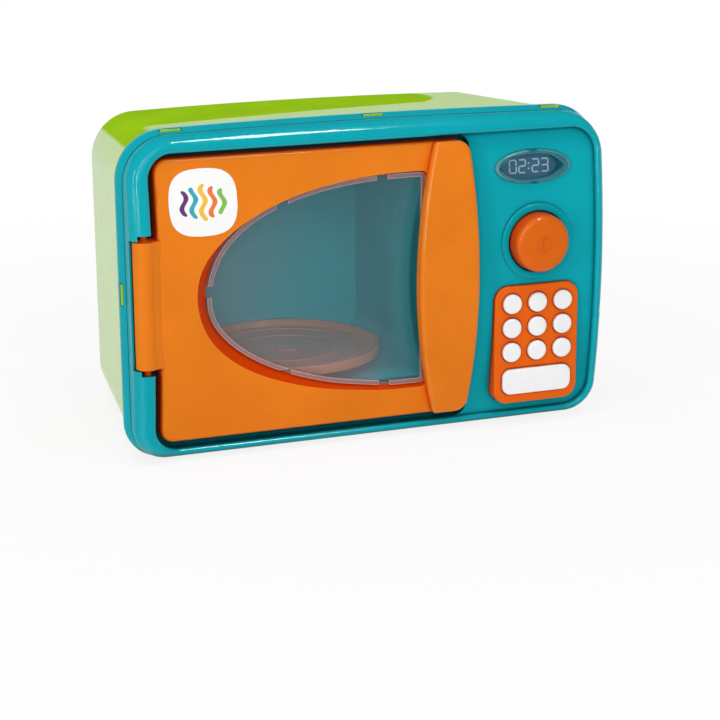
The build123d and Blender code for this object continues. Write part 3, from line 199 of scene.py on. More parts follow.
class PlasticColours(bpy.types.PropertyGroup):
    lime: colour_property("Lime casing", "Rear casing", (0.345, 0.620, 0.013))
    teal: colour_property("Teal bezel", "Front bezel", (0.004, 0.372, 0.440))
    # Painted light: the liner's teal is lighter than the bezel's, standing in for light inside the
    # oven
    teal_liner_painted_light: colour_property("Teal liner", "Oven's inner box", (0.014, 0.580, 0.620))
    door_orange: colour_property("Door orange", "Door and handle", (0.800, 0.208, 0.014))
    deep_orange: colour_property("Deep orange", "Keypad plate", (0.830, 0.135, 0.008))
    knob_orange: colour_property("Knob orange", "Knob", (0.720, 0.135, 0.007))
    dish_orange: colour_property("Dish orange", "Turntable", (1.000, 0.330, 0.150))
    key_white: colour_property("Key white", "Keys", (0.920, 0.925, 0.930))
    sticker_white: colour_property("Sticker white", "Badge's paper", (0.930, 0.930, 0.920))
    ink_purple: colour_property("Purple ink", "Badge's first line", (0.105, 0.006, 0.170))
    ink_teal: colour_property("Teal ink", "Badge's second line", (0.010, 0.380, 0.480))
    ink_yellow: colour_property("Yellow ink", "Badge's third line", (0.890, 0.500, 0.015))
    ink_orange: colour_property("Orange ink", "Badge's fourth line", (0.850, 0.160, 0.012))
    ink_green: colour_property("Green ink", "Badge's fifth line", (0.190, 0.500, 0.060))
    card: colour_property("Display card", "Card behind the lens", (0.065, 0.150, 0.235))
    lens_frost: colour_property("Lens frost", "Frosted border", (0.040, 0.270, 0.330))
    lens_line: colour_property("Lens line", "Fine line round the lens", (0.130, 0.380, 0.440))
    window_haze: colour_property("Window haze", "Faint haze of the pane", (0.240, 0.440, 0.560))
    window_rim: colour_property("Window rim", "Pane's raised edge", (0.420, 0.220, 0.220))
    # Painted highlight on the pane rim's edges; darkened, it also tints the painted shade strip
    rim_highlight_paint: colour_property("Rim line", "Bright edges of the rim", (0.850, 0.600, 0.590))
    # Painted shade: deep teal laid into the bezel's recesses and gaps
    painted_shade_teal: colour_property("Teal in hollows", "Deep teal", (0.0005, 0.085, 0.105))
    # Painted shade: deep orange laid into the door's, handle's and knob's recesses and sloping
    # walls
    painted_shade_orange: colour_property("Orange in hollows", "Deep orange", (0.640, 0.048, 0.001))
    # Painted shade: darker orange round the keys, with a painted shadow ring at each key hole
    painted_shade_keypad: colour_property("Keypad hollows", "Orange round keys", (0.420, 0.030, 0.001))
    # Painted shade with painted orange bounce light on each key's foot and sides
    painted_key_shade: colour_property("Key foot", "Orange that a key takes on", (0.780, 0.260, 0.110))
    figures: colour_property("Display figures", "Figures' ink", (0.560, 0.680, 0.760))


class DetailSizes(bpy.types.PropertyGroup):
    knob_rounding: length_property("Knob rounding", "Radius of the knob's shoulder", 5.0 * MM)
    knob_symbol: length_property("Knob symbol", "Radius of the ring on the knob", 4.8 * MM)
    figure_height: length_property("Figure height", "Height of the figures", 7.7 * MM)
    figure_width: length_property("Figure width", "Width of one figure", 4.35 * MM)
    figure_stroke: length_property("Figure stroke", "Width of a segment", 0.85 * MM)
    key_travel: length_property("Key travel", "How far a key goes in", 1.5 * MM)
    knob_facets: IntProperty(
        name="Knob facets", description="Steps round the knob", min=24, default=96
    )
    shown_time: StringProperty(
        name="Shown time", description="Figures on the display", default="02:23"
    )


class StudioLevels(bpy.types.PropertyGroup):
    ambient: FloatProperty(
        name="Ambient", description="Even light from all round", min=0.0, default=0.38
    )
    surround: FloatProperty(
        name="Dark surround", description="What gloss sees above the table", min=0.0, default=0.06
    )
    overhead_strip: power_property("Overhead strip", "Strip light above", 8.5)
    gloss_streak: power_property("Gloss streak", "Light above that only gloss shows", 18.0)
    edge_streak: power_property("Edge streak", "Tall light that only gloss shows", 8.0)
    left_strip: power_property("Left strip", "Tall strip at the left", 6.0)
    front_softbox: power_property("Front softbox", "Soft light in front", 14.5)
    table_white: FloatProperty(
        name="Table white",
        description="Share of plain white in the table",
        min=0.0,
        max=1.0,
        default=0.85,
    )


class Wire:
    """A node's output. Arithmetic on it adds Math nodes."""

    def __init__(self, sheet, socket):
        self.sheet = sheet
        self.socket = socket

    def _math(self, operation, *values):
        return self.sheet.node(
            "ShaderNodeMath", {"operation": operation}, dict(enumerate(values))
        )

    def __add__(self, other):
        return self._math("ADD", self, other)

    __radd__ = __add__

    def __sub__(self, other):
        return self._math("SUBTRACT", self, other)

    def __rsub__(self, other):
        return self._math("SUBTRACT", other, self)

    def __mul__(self, other):
        return self._math("MULTIPLY", self, other)

    __rmul__ = __mul__

    def __truediv__(self, other):
        return self._math("DIVIDE", self, other)

    def __rtruediv__(self, other):
        return self._math("DIVIDE", other, self)

    def __pow__(self, other):
        return self._math("POWER", self, other)

    def __lt__(self, other):
        return self._math("LESS_THAN", self, other)

    def __gt__(self, other):
        return self._math("GREATER_THAN", self, other)

    def __abs__(self):
        return self._math("ABSOLUTE", self)

    def sine(self):
        return self._math("SINE", self)

    def or_less(self, other):
        return self._math("MINIMUM", self, other)

    def or_more(self, other):
        return self._math("MAXIMUM", self, other)


class NodeSheet:
    """The node tree of one finish."""

    def __init__(self, tree):
        self.tree = tree
        tree.nodes.clear()

    def node(self, kind, settings=None, inputs=None, output=0):
        """Adds a node with its settings and its inputs' values or links, and gives one output."""
        made = self.tree.nodes.new(kind)
        for name, value in (settings or {}).items():
            setattr(made, name, value)
        for name, value in (inputs or {}).items():
            if isinstance(value, Wire):
                self.tree.links.new(value.socket, made.inputs[name])
            else:
                made.inputs[name].default_value = value
        return Wire(self, made.outputs[output])

    def outputs(self, wire, *names):
        """Outputs of the node that a wire comes from."""
        return tuple(Wire(self, wire.socket.node.outputs[name]) for name in names)

    def place(self):
        """Position on the part, in metres, which moves with it."""
        return self.node("ShaderNodeTexCoord", output="Object")

    def axes(self, where):
        """Shares of a vector across, in depth and in height."""
        return self.outputs(self.node("ShaderNodeSeparateXYZ", inputs={0: where}), 0, 1, 2)

    def facing(self):
        """Where the surface faces, across, in depth and in height."""
        return self.axes(self.node("ShaderNodeTexCoord", output="Normal"))

    def rays(self):
        """1 for camera rays, for glossy rays and for rays that come through clear parts."""
        names = ("Is Camera Ray", "Is Glossy Ray", "Is Transmission Ray")
        return self.outputs(self.node("ShaderNodeLightPath"), *names)

    def cloud(self, where, size, detail=2.0, roughness=0.5):
        """Soft noise with features of that size, from 0 to 1."""
        return self.node(
            "ShaderNodeTexNoise",
            {"noise_dimensions": "3D"},
            {"Vector": where, "Scale": 1.0 / size, "Detail": detail, "Roughness": roughness},
        )

    def tint(self, first, second, share):
        """Mixes two colours, which are the Mix node's inputs 6 and 7 and its output 2."""
        return self.node(
            "ShaderNodeMix",
            {"data_type": "RGBA", "clamp_factor": True},
            {0: share, 6: first, 7: second},
            2,
        )

    def band(self, value, low, high):
        """0 below low, 1 above high, and smooth between them."""
        return self.node(
            "ShaderNodeMapRange",
            {"interpolation_type": "SMOOTHSTEP", "clamp": True},
            {"Value": value, "From Min": low, "From Max": high, "To Min": 0.0, "To Max": 1.0},
        )

    def bump(self, height, distance, under=None):
        inputs = {"Height": height, "Distance": distance, "Strength": 1.0}
        if under is not None:
            inputs["Normal"] = under
        return self.node("ShaderNodeBump", None, inputs)

    def softened(self, radius, samples):
        """Normal of the surface as if its edges were rounded by that radius."""
        return self.node("ShaderNodeBevel", {"samples": samples}, {"Radius": radius})

    def edges(self, radius, low, high):
        """1 within about that radius of an edge, and 0 on open faces."""
        flat = self.node("ShaderNodeNewGeometry", output="Normal")
        likeness = self.node(
            "ShaderNodeVectorMath",
            {"operation": "DOT_PRODUCT"},
            {0: self.softened(radius, 8), 1: flat},
            "Value",
        )
        return 1.0 - self.band(likeness, low, high)

    def surface(self, inputs):
        return self.node("ShaderNodeBsdfPrincipled", None, inputs)

    def blended(self, share, first, second):
        return self.node("ShaderNodeMixShader", None, {0: share, 1: first, 2: second})

    def finish(self, shader, kind="ShaderNodeOutputMaterial"):
        output = self.tree.nodes.new(kind)
        self.tree.links.new(shader.socket, output.inputs["Surface"])


def rgba(colour, factor=1.0):
    return (*(min(max(channel * factor, 0.0), 1.0) for channel in colour), 1.0)


def new_finish(name):
    material = bpy.data.materials.new(name)
    material.use_nodes = True
    return material, NodeSheet(material.node_tree)


def front_polish(sheet, polish):
    """Clear gloss that fades on faces turned to the front, and is thin on those at the left."""
    left_loss = 0.9
    across, depth, _ = sheet.facing()
    left = sheet.band(across * -1.0, 0.4, 0.8)
    return sheet.band(depth, -0.985, -0.90) * (1.0 - left * left_loss) * polish


def casing_polish(sheet, polish):
    """Gloss of the casing: full on the sides, with a broad matt patch at the left of the top.

    The patch has a bowed front line, a round right end and a straight back line, which are given
    in millimetres.
    """
    top_gloss, side_gloss = 0.54, 0.93
    slant, bow = 0.170, 0.00037
    end_middle, end_roundness = 56.0, 0.013
    back_slant = 0.05

    x, y, _ = sheet.axes(sheet.place())
    x = x * TO_MM
    y = y * TO_MM
    behind = sheet.band(y - x * slant - x * x * bow, 4.7, 6.7)
    round_end = (y - end_middle) * (y - end_middle) * end_roundness
    inside = 1.0 - sheet.band(x + round_end, 81.0, 84.0)
    inside = inside * (1.0 - sheet.band(y + x * back_slant, 76.0, 79.0))
    _, _, height = sheet.facing()
    upward = sheet.band(height, 0.6, 0.68)
    turned_up = sheet.band(height, 0.95, 0.99)
    rest = (1.0 - behind * inside) * top_gloss
    return (upward * turned_up * rest + (1.0 - upward) * side_gloss) * polish


def unshaded_share(sheet, where, reach, funnel, walls, key_field):
    """1 where the surface lies open, and less where painted shade goes: in recesses, on the walls
    round them and round key holes.
    """
    open_air = sheet.node(
        "ShaderNodeAmbientOcclusion",
        {"samples": 6, "only_local": False},
        {"Distance": reach},
        "AO",
    )
    share = sheet.band(open_air, 0.35, 0.85)
    # Painted shade on the sloping walls of a sunk window
    if funnel is not None:
        low, high = funnel
        left_and_below, above = 12 * MM, 8 * MM
        x, _, z = sheet.axes(where)
        within = (x > low.x - left_and_below) * (z > low.z - left_and_below)
        within = within * (z < high.z + above)
        _, depth, _ = sheet.facing()
        share = share * (1.0 - within * sheet.band(depth, -0.97, -0.93))
    # Painted shade on faces turned away from the front
    if walls > 0.0:
        _, depth, _ = sheet.facing()
        share = share * (1.0 - sheet.band(depth, -0.85, -0.4) * walls)
    # Painted shadow ring round each hole of a key plate
    if key_field is not None:
        low, high = key_field
        margin, hole_edge, darkness = 4 * MM, 1.9 * MM, 0.9
        x, _, z = sheet.axes(where)
        within = (x > low.x + margin) * (x < high.x - margin)
        within = within * (z > low.z + margin) * (z < high.z - margin)
        share = share * (1.0 - within * sheet.edges(hole_edge, 0.9, 0.99) * darkness)
    return share


def moulded_plastic(
    name,
    colour,
    roughness,
    ripple,
    grain,
    specular,
    polish=0.0,
    gloss_place=front_polish,
    painted_shade=None,
    reach=14 * MM,
    funnel=None,
    walls=0.0,
    key_field=None,
    soft_edge=0.0,
):
    """Injection moulding: flow clouds in the colour, faint ripple and grain, scuffed gloss.

    polish is a clear gloss laid by gloss_place. The shade colour given is painted shade: it
    replaces the plain colour in the recesses that ambient occlusion finds within that reach, and
    funnel holds the low and high place of a sunk window whose sloping walls get this painted shade
    as well. walls is how much painted shade the faces turned away from the front get, and
    key_field holds the low and high place of a plate whose holes get a painted shadow ring.
    soft_edge is the radius by which edges look rounded.
    """
    ripple_depth, grain_depth = 0.010 * MM, 0.0022 * MM
    darkest, palest = 0.955, 1.045
    coat_roughness = 0.07

    material, sheet = new_finish(name)
    where = sheet.place()
    flow = sheet.cloud(where, 38 * MM, 3.0, 0.55)
    speck = sheet.cloud(where, 0.9 * MM, 2.0, 0.6)
    scuff = sheet.cloud(where, 7 * MM, 4.0, 0.7)
    speck_share = min(grain, 1.0) * 0.3
    shade = sheet.band(flow * (1.0 - speck_share) + speck * speck_share, 0.3, 0.7)
    base = sheet.tint(rgba(colour, darkest), rgba(colour, palest), shade)
    # Painted shade: the shade colour replaces the plain colour in recesses, on turned-away walls
    # and round key holes
    if painted_shade is not None:
        unshaded = unshaded_share(sheet, where, reach, funnel, walls, key_field)
        base = sheet.tint(rgba(painted_shade), base, unshaded)
    ripples = sheet.cloud(where, 7 * MM, 1.0, 0.4)
    grains = sheet.cloud(where, 0.6 * MM, 2.0, 0.6)
    under = sheet.softened(soft_edge, 6) if soft_edge > 0.0 else None
    soft = sheet.bump(ripples, ripple_depth * ripple, under)
    inputs = {
        "Base Color": base,
        "Roughness": roughness * (0.85 + flow * 0.15 + sheet.band(scuff, 0.52, 0.75) * 0.3),
        "Normal": sheet.bump(grains, grain_depth * grain, soft),
        "Specular IOR Level": specular,
        "Coat Roughness": coat_roughness,
    }
    if polish > 0.0:
        inputs["Coat Weight"] = gloss_place(sheet, polish)
    sheet.finish(sheet.surface(inputs))
    return material


def window_plastic(name, colours, low, high):
    """Clear plastic of the pane between those corners, which mirrors more at a slant.

    It is faintly milky, more so at the left and with a blush low down there. Its raised rim has
    painted highlights along its edges, and a strip of painted shade, bowed, runs along its upright
    side.
    """
    rim_depth, rim_share, line_share = 2.3 * MM, 0.5, 0.4
    haze_share, haze_gain, haze_tint = 0.075, 0.7, 0.4
    blush_gain, blush_tint = 1.1, 0.6
    strip_bow, strip_share, strip_shade = 12 * MM, 0.16, 0.04
    ripple_depth, mirror, refraction = 0.004 * MM, 0.3, 1.49

    material, sheet = new_finish(name)
    where = sheet.place()
    across, depth, height = sheet.axes(where)
    cloudy = sheet.cloud(where, 22 * MM, 3.0, 0.5)
    ripples = sheet.cloud(where, 30 * MM, 0.0, 0.4)
    scuff = sheet.cloud(where, 9 * MM, 2.0, 0.6)
    normal = sheet.bump(ripples, ripple_depth)
    colour = sheet.tint(
        rgba(colours.window_haze, 0.95), rgba(colours.window_haze, 1.05), cloudy
    )

    haze = 1.0 - sheet.band(across, low.x, low.x + 90 * MM)
    blush = 1.0 - sheet.band(height, low.z + 10 * MM, low.z + 55 * MM)
    blush = blush * (1.0 - sheet.band(across, low.x + 95 * MM, low.x + 125 * MM))
    amount = haze_share * (0.9 + cloudy * 0.2) * (1.0 + haze * haze_gain + blush * blush_gain)
    warmth = haze * haze_tint + blush * blush_tint
    colour = sheet.tint(colour, rgba(colours.window_rim, 1.5), warmth)

    # Painted shade: a dark bowed strip along the pane's upright side, where the handle darkens it
    bow = (height - (low.z + high.z) / 2) / ((high.z - low.z) / 2)
    bowed = across + (1.0 - bow * bow) * strip_bow
    strip = sheet.band(bowed, high.x - 1.5 * MM, high.x + 0.5 * MM)
    colour = sheet.tint(colour, rgba(colours.rim_highlight_paint, strip_shade), strip)
    amount = amount + strip * strip_share

    # Painted highlight: bright lines along the rim's edges
    raised = depth < low.y + rim_depth
    line = raised * sheet.edges(0.5 * MM, 0.93, 0.985)
    colour = sheet.tint(colour, rgba(colours.window_rim), raised)
    colour = sheet.tint(colour, rgba(colours.rim_highlight_paint), line)
    amount = amount + raised * rim_share + line * line_share

    clear = sheet.node("ShaderNodeBsdfTransparent", None, {"Color": rgba(PANE_TINT)})
    milk = sheet.surface(
        {
            "Base Color": colour,
            "Roughness": 0.25 + cloudy * 0.1,
            "Normal": normal,
            "Specular IOR Level": 0.2,
        }
    )
    shine = sheet.surface(
        {
            "Base Color": rgba(WHITE),
            "Metallic": 1.0,
            "Roughness": 0.03 + sheet.band(scuff, 0.5, 0.7) * 0.04,
            "Normal": normal,
        }
    )
    body = sheet.blended(amount.or_less(1.0), clear, milk)
    gloss = sheet.node("ShaderNodeFresnel", None, {"IOR": refraction}) * mirror
    sheet.finish(sheet.blended(gloss.or_less(1.0), body, shine))
    return material


def display_cover(name, colours, middle):
    """Clear lens with a pointed clear eye, a frosted teal border and a fine bright line round it.

    Its lengths are in millimetres from the lens's middle.
    """
    eye_shift, eye_half_length, eye_half_height = 1.0, 21.5, 7.6
    oval_half_length, oval_half_height = 24.6, 9.9
    inner_line_strength = 0.4
    eye_share, frost_share, line_share = 0.04, 0.34, 0.3

    material, sheet = new_finish(name)
    where = sheet.place()
    across, _, height = sheet.axes(where)
    cloudy = sheet.cloud(where, 6 * MM, 2.0, 0.5)
    u = (across - middle[0]) * TO_MM
    v = (height - middle[1]) * TO_MM
    along = abs(u + eye_shift) / eye_half_length
    eye = eye_half_height * (1.0 - along * along * along) - abs(v)
    border = 1.0 - sheet.band(eye, -0.3, 0.1)
    u_share = u / oval_half_length
    v_share = v / oval_half_height
    oval = (u_share * u_share + v_share * v_share) ** 0.5
    outer_line = sheet.band(oval, 0.90, 0.95)
    inner_line = border * (1.0 - sheet.band(abs(eye + 0.5), 0.15, 0.4))
    line = outer_line.or_more(inner_line * inner_line_strength)
    line = line * sheet.band(abs(u), 1.5, 4.0)
    colour = sheet.tint(rgba(colours.lens_frost), rgba(colours.lens_line), line)
    colour = sheet.tint(colour, rgba(colours.lens_frost, 1.2), cloudy * 0.3)
    amount = eye_share + border * frost_share + line * line_share
    clear = sheet.node("ShaderNodeBsdfTransparent", None, {"Color": rgba(LENS_TINT)})
    body = sheet.surface(
        {"Base Color": colour, "Roughness": 0.16 + cloudy * 0.08, "Specular IOR Level": 0.4}
    )
    sheet.finish(sheet.blended(amount.or_less(1.0), clear, body))
    return material


def drawn_steel(name, colour, roughness):
    """Bright steel with fine drawing streaks and a little tarnish."""
    material, sheet = new_finish(name)
    where = sheet.place()
    streak = sheet.cloud(where, 0.35 * MM, 2.0, 0.6)
    tarnish = sheet.cloud(where, 6 * MM, 3.0, 0.6)
    shader = sheet.surface(
        {
            "Base Color": sheet.tint(rgba(colour, 0.85), rgba(colour, 1.1), tarnish),
            "Metallic": 1.0,
            "Roughness": roughness * (0.7 + streak * 0.6),
            "Normal": sheet.bump(streak, 0.006 * MM),
        }
    )
    sheet.finish(shader)
    return material


def printed_card(name, colour):
    """Ink on card: fine fibre, slightly cloudy, and nearly without gloss."""
    material, sheet = new_finish(name)
    where = sheet.place()
    fibre = sheet.cloud(where, 0.5 * MM, 3.0, 0.6)
    cloudy = sheet.cloud(where, 9 * MM, 2.0, 0.5)
    mottle = fibre * 0.5 + cloudy * 0.5
    shader = sheet.surface(
        {
            "Base Color": sheet.tint(rgba(colour, 0.85), rgba(colour, 1.15), mottle),
            "Roughness": 0.55 + fibre * 0.15,
            "Normal": sheet.bump(fibre, 0.01 * MM),
            "Specular IOR Level": 0.3,
        }
    )
    sheet.finish(shader)
    return material


def badge_print(name, colours, middle):
    """White sticker with five wavy heat lines, each in its own ink.

    Its lengths are in millimetres from the sticker's middle.
    """
    spacing, longest, shortening = 5.6, 10.5, 1.6
    wave_rate, wave_shift, wave_width = 0.52, 0.5, 1.35
    round_end = 1.5
    ink_low, ink_high = 1.38, 1.52

    material, sheet = new_finish(name)
    where = sheet.place()
    across, _, height = sheet.axes(where)
    fibre = sheet.cloud(where, 0.4 * MM, 3.0, 0.6)
    mottle = sheet.cloud(where, 5 * MM, 2.0, 0.5)
    x = (across - middle[0]) * TO_MM
    z = (height - middle[1]) * TO_MM
    paint = sheet.tint(rgba(colours.sticker_white, 0.975), rgba(colours.sticker_white), mottle)
    inks = (
        colours.ink_purple,
        colours.ink_teal,
        colours.ink_yellow,
        colours.ink_orange,
        colours.ink_green,
    )
    for place, ink in enumerate(inks):
        from_middle = place - len(inks) // 2
        reach = longest - abs(from_middle) * shortening
        wave = (z * wave_rate + place * wave_shift).sine() * wave_width
        lean = x - from_middle * spacing - wave
        lift = (abs(z) - (reach - round_end)).or_more(0.0)
        away = (lean * lean + lift * lift) ** 0.5
        cover = 1.0 - sheet.band(away, ink_low, ink_high)
        paint = sheet.tint(paint, rgba(ink), cover * (0.96 + mottle * 0.04))
    shader = sheet.surface(
        {
            "Base Color": paint,
            "Roughness": 0.34 + fibre * 0.12,
            "Normal": sheet.bump(fibre, 0.004 * MM),
            "Specular IOR Level": 0.35,
        }
    )
    sheet.finish(shader)
    return material


def link(made):
    bpy.context.scene.collection.objects.link(made)


def dress(node, material):
    """Gives a node of the frame its finish in every one of its slots."""
    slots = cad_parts[node].data.materials
    if not slots:
        slots.append(material)
    for index in range(len(slots)):
        slots[index] = material


def new_piece(name, mesh_builder, material, body, sharp):
    """A mesh object made by mesh_builder(bm), riding on a body.

    Edges that turn by more than sharp stay hard.
    """
    mesh = bpy.data.meshes.new(name)
    bm = bmesh.new()
    mesh_builder(bm)
    bmesh.ops.recalc_face_normals(bm, faces=bm.faces)
    bm.to_mesh(mesh)
    bm.free()
    for face in mesh.polygons:
        face.use_smooth = True
    mesh.set_sharp_from_angle(angle=sharp)
    mesh.materials.append(material)
    piece = bpy.data.objects.new(name, mesh)
    link(piece)
    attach(piece, body)
    return piece


def turned(bm, profile, middle, steps):
    """Turns (radius, reach) points round an axis that points to the front through middle (x, z).

    The last point of the profile lies on the axis.
    """
    turns = [2 * math.pi * step / steps for step in range(steps)]
    rings = []
    for radius, reach in profile[:-1]:
        ring = []
        for turn in turns:
            across = middle[0] + radius * math.cos(turn)
            up = middle[1] + radius * math.sin(turn)
            ring.append(bm.verts.new((across, -reach, up)))
        rings.append(ring)
    tip = bm.verts.new((middle[0], -profile[-1][1], middle[1]))
    for inner, outer in zip(rings, rings[1:]):
        for step in range(steps):
            after = (step + 1) % steps
            bm.faces.new((inner[step], inner[after], outer[after], outer[step]))
    for step in range(steps):
        bm.faces.new((rings[-1][step], rings[-1][(step + 1) % steps], tip))


def capsule(bm, start, end, width, lift, thick, place):
    """A flat bar with round ends between two points of a plane.

    place(u, v, w) gives the point in the frame, w being the height above the plane.
    """
    start, end = Vector(start), Vector(end)
    along = (end - start).normalized()
    half = width / 2
    outline = []
    for middle, forward in ((end, along), (start, -along)):
        side = Vector((-forward.y, forward.x))
        for step in range(ROUND_END_STEPS + 1):
            angle = math.radians(-90 + 180 * step / ROUND_END_STEPS)
            reach = forward * math.cos(angle) * half
            outline.append(middle + reach + side * math.sin(angle) * half)
    low = [bm.verts.new(place(p.x, p.y, lift)) for p in outline]
    high = [bm.verts.new(place(p.x, p.y, lift + thick)) for p in outline]
    bm.faces.new(high)
    bm.faces.new(list(reversed(low)))
    for index in range(len(outline)):
        after = (index + 1) % len(outline)
        bm.faces.new((low[index], low[after], high[after], high[index]))


def segment_ends(width, height, gap):
    """Start and end of each segment of a figure, from the figure's middle."""
    half, middle = width / 2, height / 2
    return {
        "a": ((-half + gap, middle), (half - gap, middle)),
        "g": ((-half + gap, 0), (half - gap, 0)),
        "d": ((-half + gap, -middle), (half - gap, -middle)),
        "f": ((-half, gap), (-half, middle - gap)),
        "b": ((half, gap), (half, middle - gap)),
        "e": ((-half, -middle + gap), (-half, -gap)),
        "c": ((half, -middle + gap), (half, -gap)),
    }


def display_place(x):
    """Turns (across, up, out) from x on the tilted display's middle line into a point."""
    right = Vector((1, 0, 0))
    out = Vector((0, -math.cos(DISPLAY_TILT), math.sin(DISPLAY_TILT)))
    up = out.cross(right)
    middle = (CARD_LOW + CARD_HIGH) / 2
    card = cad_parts["display_card"].data
    face = max((vertex.co - middle).dot(out) for vertex in card.vertices)
    origin = middle + out * face

    def place(u, v, w):
        return origin + right * (u + x) + up * v + out * w

    return place


class TOYOVEN_OT_shell(bpy.types.Operator):
    """Give the casing, bezel and liner their moulded plastics"""

    bl_idname = "toyoven.shell"
    bl_label = "Casing, bezel and liner"

    def execute(self, context):
        colours = context.scene.toyoven_colours
        lime = moulded_plastic(
            "lime_gloss",
            colours.lime,
            roughness=0.3,
            ripple=0.2,
            grain=0.4,
            specular=0.0,
            polish=1.0,
            gloss_place=casing_polish,
        )
        teal = moulded_plastic(
            "teal_gloss",
            colours.teal,
            roughness=0.26,
            ripple=0.12,
            grain=0.7,
            specular=0.03,
            polish=0.55,
            # Painted shade: deep teal in the bezel's recesses and gaps
            painted_shade=colours.painted_shade_teal,
            reach=10 * MM,
            soft_edge=0.7 * MM,
        )
        # Painted light: the liner's teal is lightened to stand in for light inside the oven
        liner = moulded_plastic(
            "teal_liner_satin",
            colours.teal_liner_painted_light,
            roughness=0.42,
            ripple=0.3,
            grain=0.0,
            specular=0.1,
        )
        dress("rear_casing", lime)
        dress("front_bezel", teal)
        dress("cavity_liner", liner)
        return {"FINISHED"}


class TOYOVEN_OT_door(bpy.types.Operator):
    """Give the door panel, its handle and its inner frame their orange plastic"""

    bl_idname = "toyoven.door"
    bl_label = "Door and handle"

    def execute(self, context):
        colours = context.scene.toyoven_colours
        panel = moulded_plastic(
            "orange_door_gloss",
            colours.door_orange,
            roughness=0.28,
            ripple=0.5,
            grain=0.7,
            specular=0.02,
            polish=0.08,
            # Painted shade: deep orange in the door's recesses and on the window's sloping walls
            painted_shade=colours.painted_shade_orange,
            funnel=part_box("door_window"),
        )
        grip = moulded_plastic(
            "orange_grip_gloss",
            colours.door_orange,
            roughness=0.2,
            ripple=0.2,
            grain=0.6,
            specular=0.03,
            polish=0.7,
            # Painted shade: deep orange in the handle's recesses
            painted_shade=colours.painted_shade_orange,
            soft_edge=2.4 * MM,
        )
        inside = moulded_plastic(
            "orange_inner_satin",
            colours.door_orange,
            roughness=0.36,
            ripple=0.8,
            grain=1.5,
            specular=0.3,
        )
        dress("door_panel", panel)
        dress("door_handle", grip)
        dress("door_inner_frame", inside)
        return {"FINISHED"}


class TOYOVEN_OT_window(bpy.types.Operator):
    """Give the door's pane its clear plastic"""

    bl_idname = "toyoven.window"
    bl_label = "Window pane"

    def execute(self, context):
        low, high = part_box("door_window")
        pane = window_plastic("smoky_clear", context.scene.toyoven_colours, low, high)
        dress("door_window", pane)
        return {"FINISHED"}


class TOYOVEN_OT_badge(bpy.types.Operator):
    """Print the sticker at the door's upper corner"""

    bl_idname = "toyoven.badge"
    bl_label = "Door badge"

    def execute(self, context):
        middle = (BADGE_LOW + BADGE_HIGH) / 2
        paper = badge_print("badge_paper", context.scene.toyoven_colours, (middle.x, middle.z))
        dress("door_badge", paper)
        return {"FINISHED"}


class TOYOVEN_OT_display(bpy.types.Operator):
    """Make the display's figures and give its lens and card their finishes"""

    bl_idname = "toyoven.display"
    bl_label = "Display"

    def execute(self, context):
        colours = context.scene.toyoven_colours
        sizes = context.scene.toyoven_sizes
        low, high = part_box("display_lens")
        middle = (low + high) / 2
        dress("display_lens", display_cover("display_clear", colours, (middle.x, middle.z)))
        dress("display_card", printed_card("slate_card", colours.card))
        ink = printed_card("figure_ink", colours.figures)
        width = sizes.figure_width
        total = 4 * width + 3 * FIGURE_GAP + COLON_ROOM
        ends = segment_ends(width, sizes.figure_height, SEGMENT_GAP)

        def figures(bm):
            across = -total / 2 + width / 2
            for letter in sizes.shown_time:
                if letter == ":":
                    place = display_place(across - width / 2 + COLON_SHIFT)
                    for height in (-COLON_RISE, COLON_RISE):
                        start, end = (-DOT_HALF_LENGTH, height), (DOT_HALF_LENGTH, height)
                        capsule(bm, start, end, COLON_DOT, INK_LIFT, INK_THICKNESS, place)
                    across += COLON_STEP
                    continue
                place = display_place(across)
                for segment in SEGMENTS[letter]:
                    start, end = ends[segment]
                    capsule(bm, start, end, sizes.figure_stroke, INK_LIFT, INK_THICKNESS, place)
                across += width + FIGURE_GAP

        sharp = math.radians(30)
        new_piece("display_figures", figures, ink, "housing", sharp)
        return {"FINISHED"}


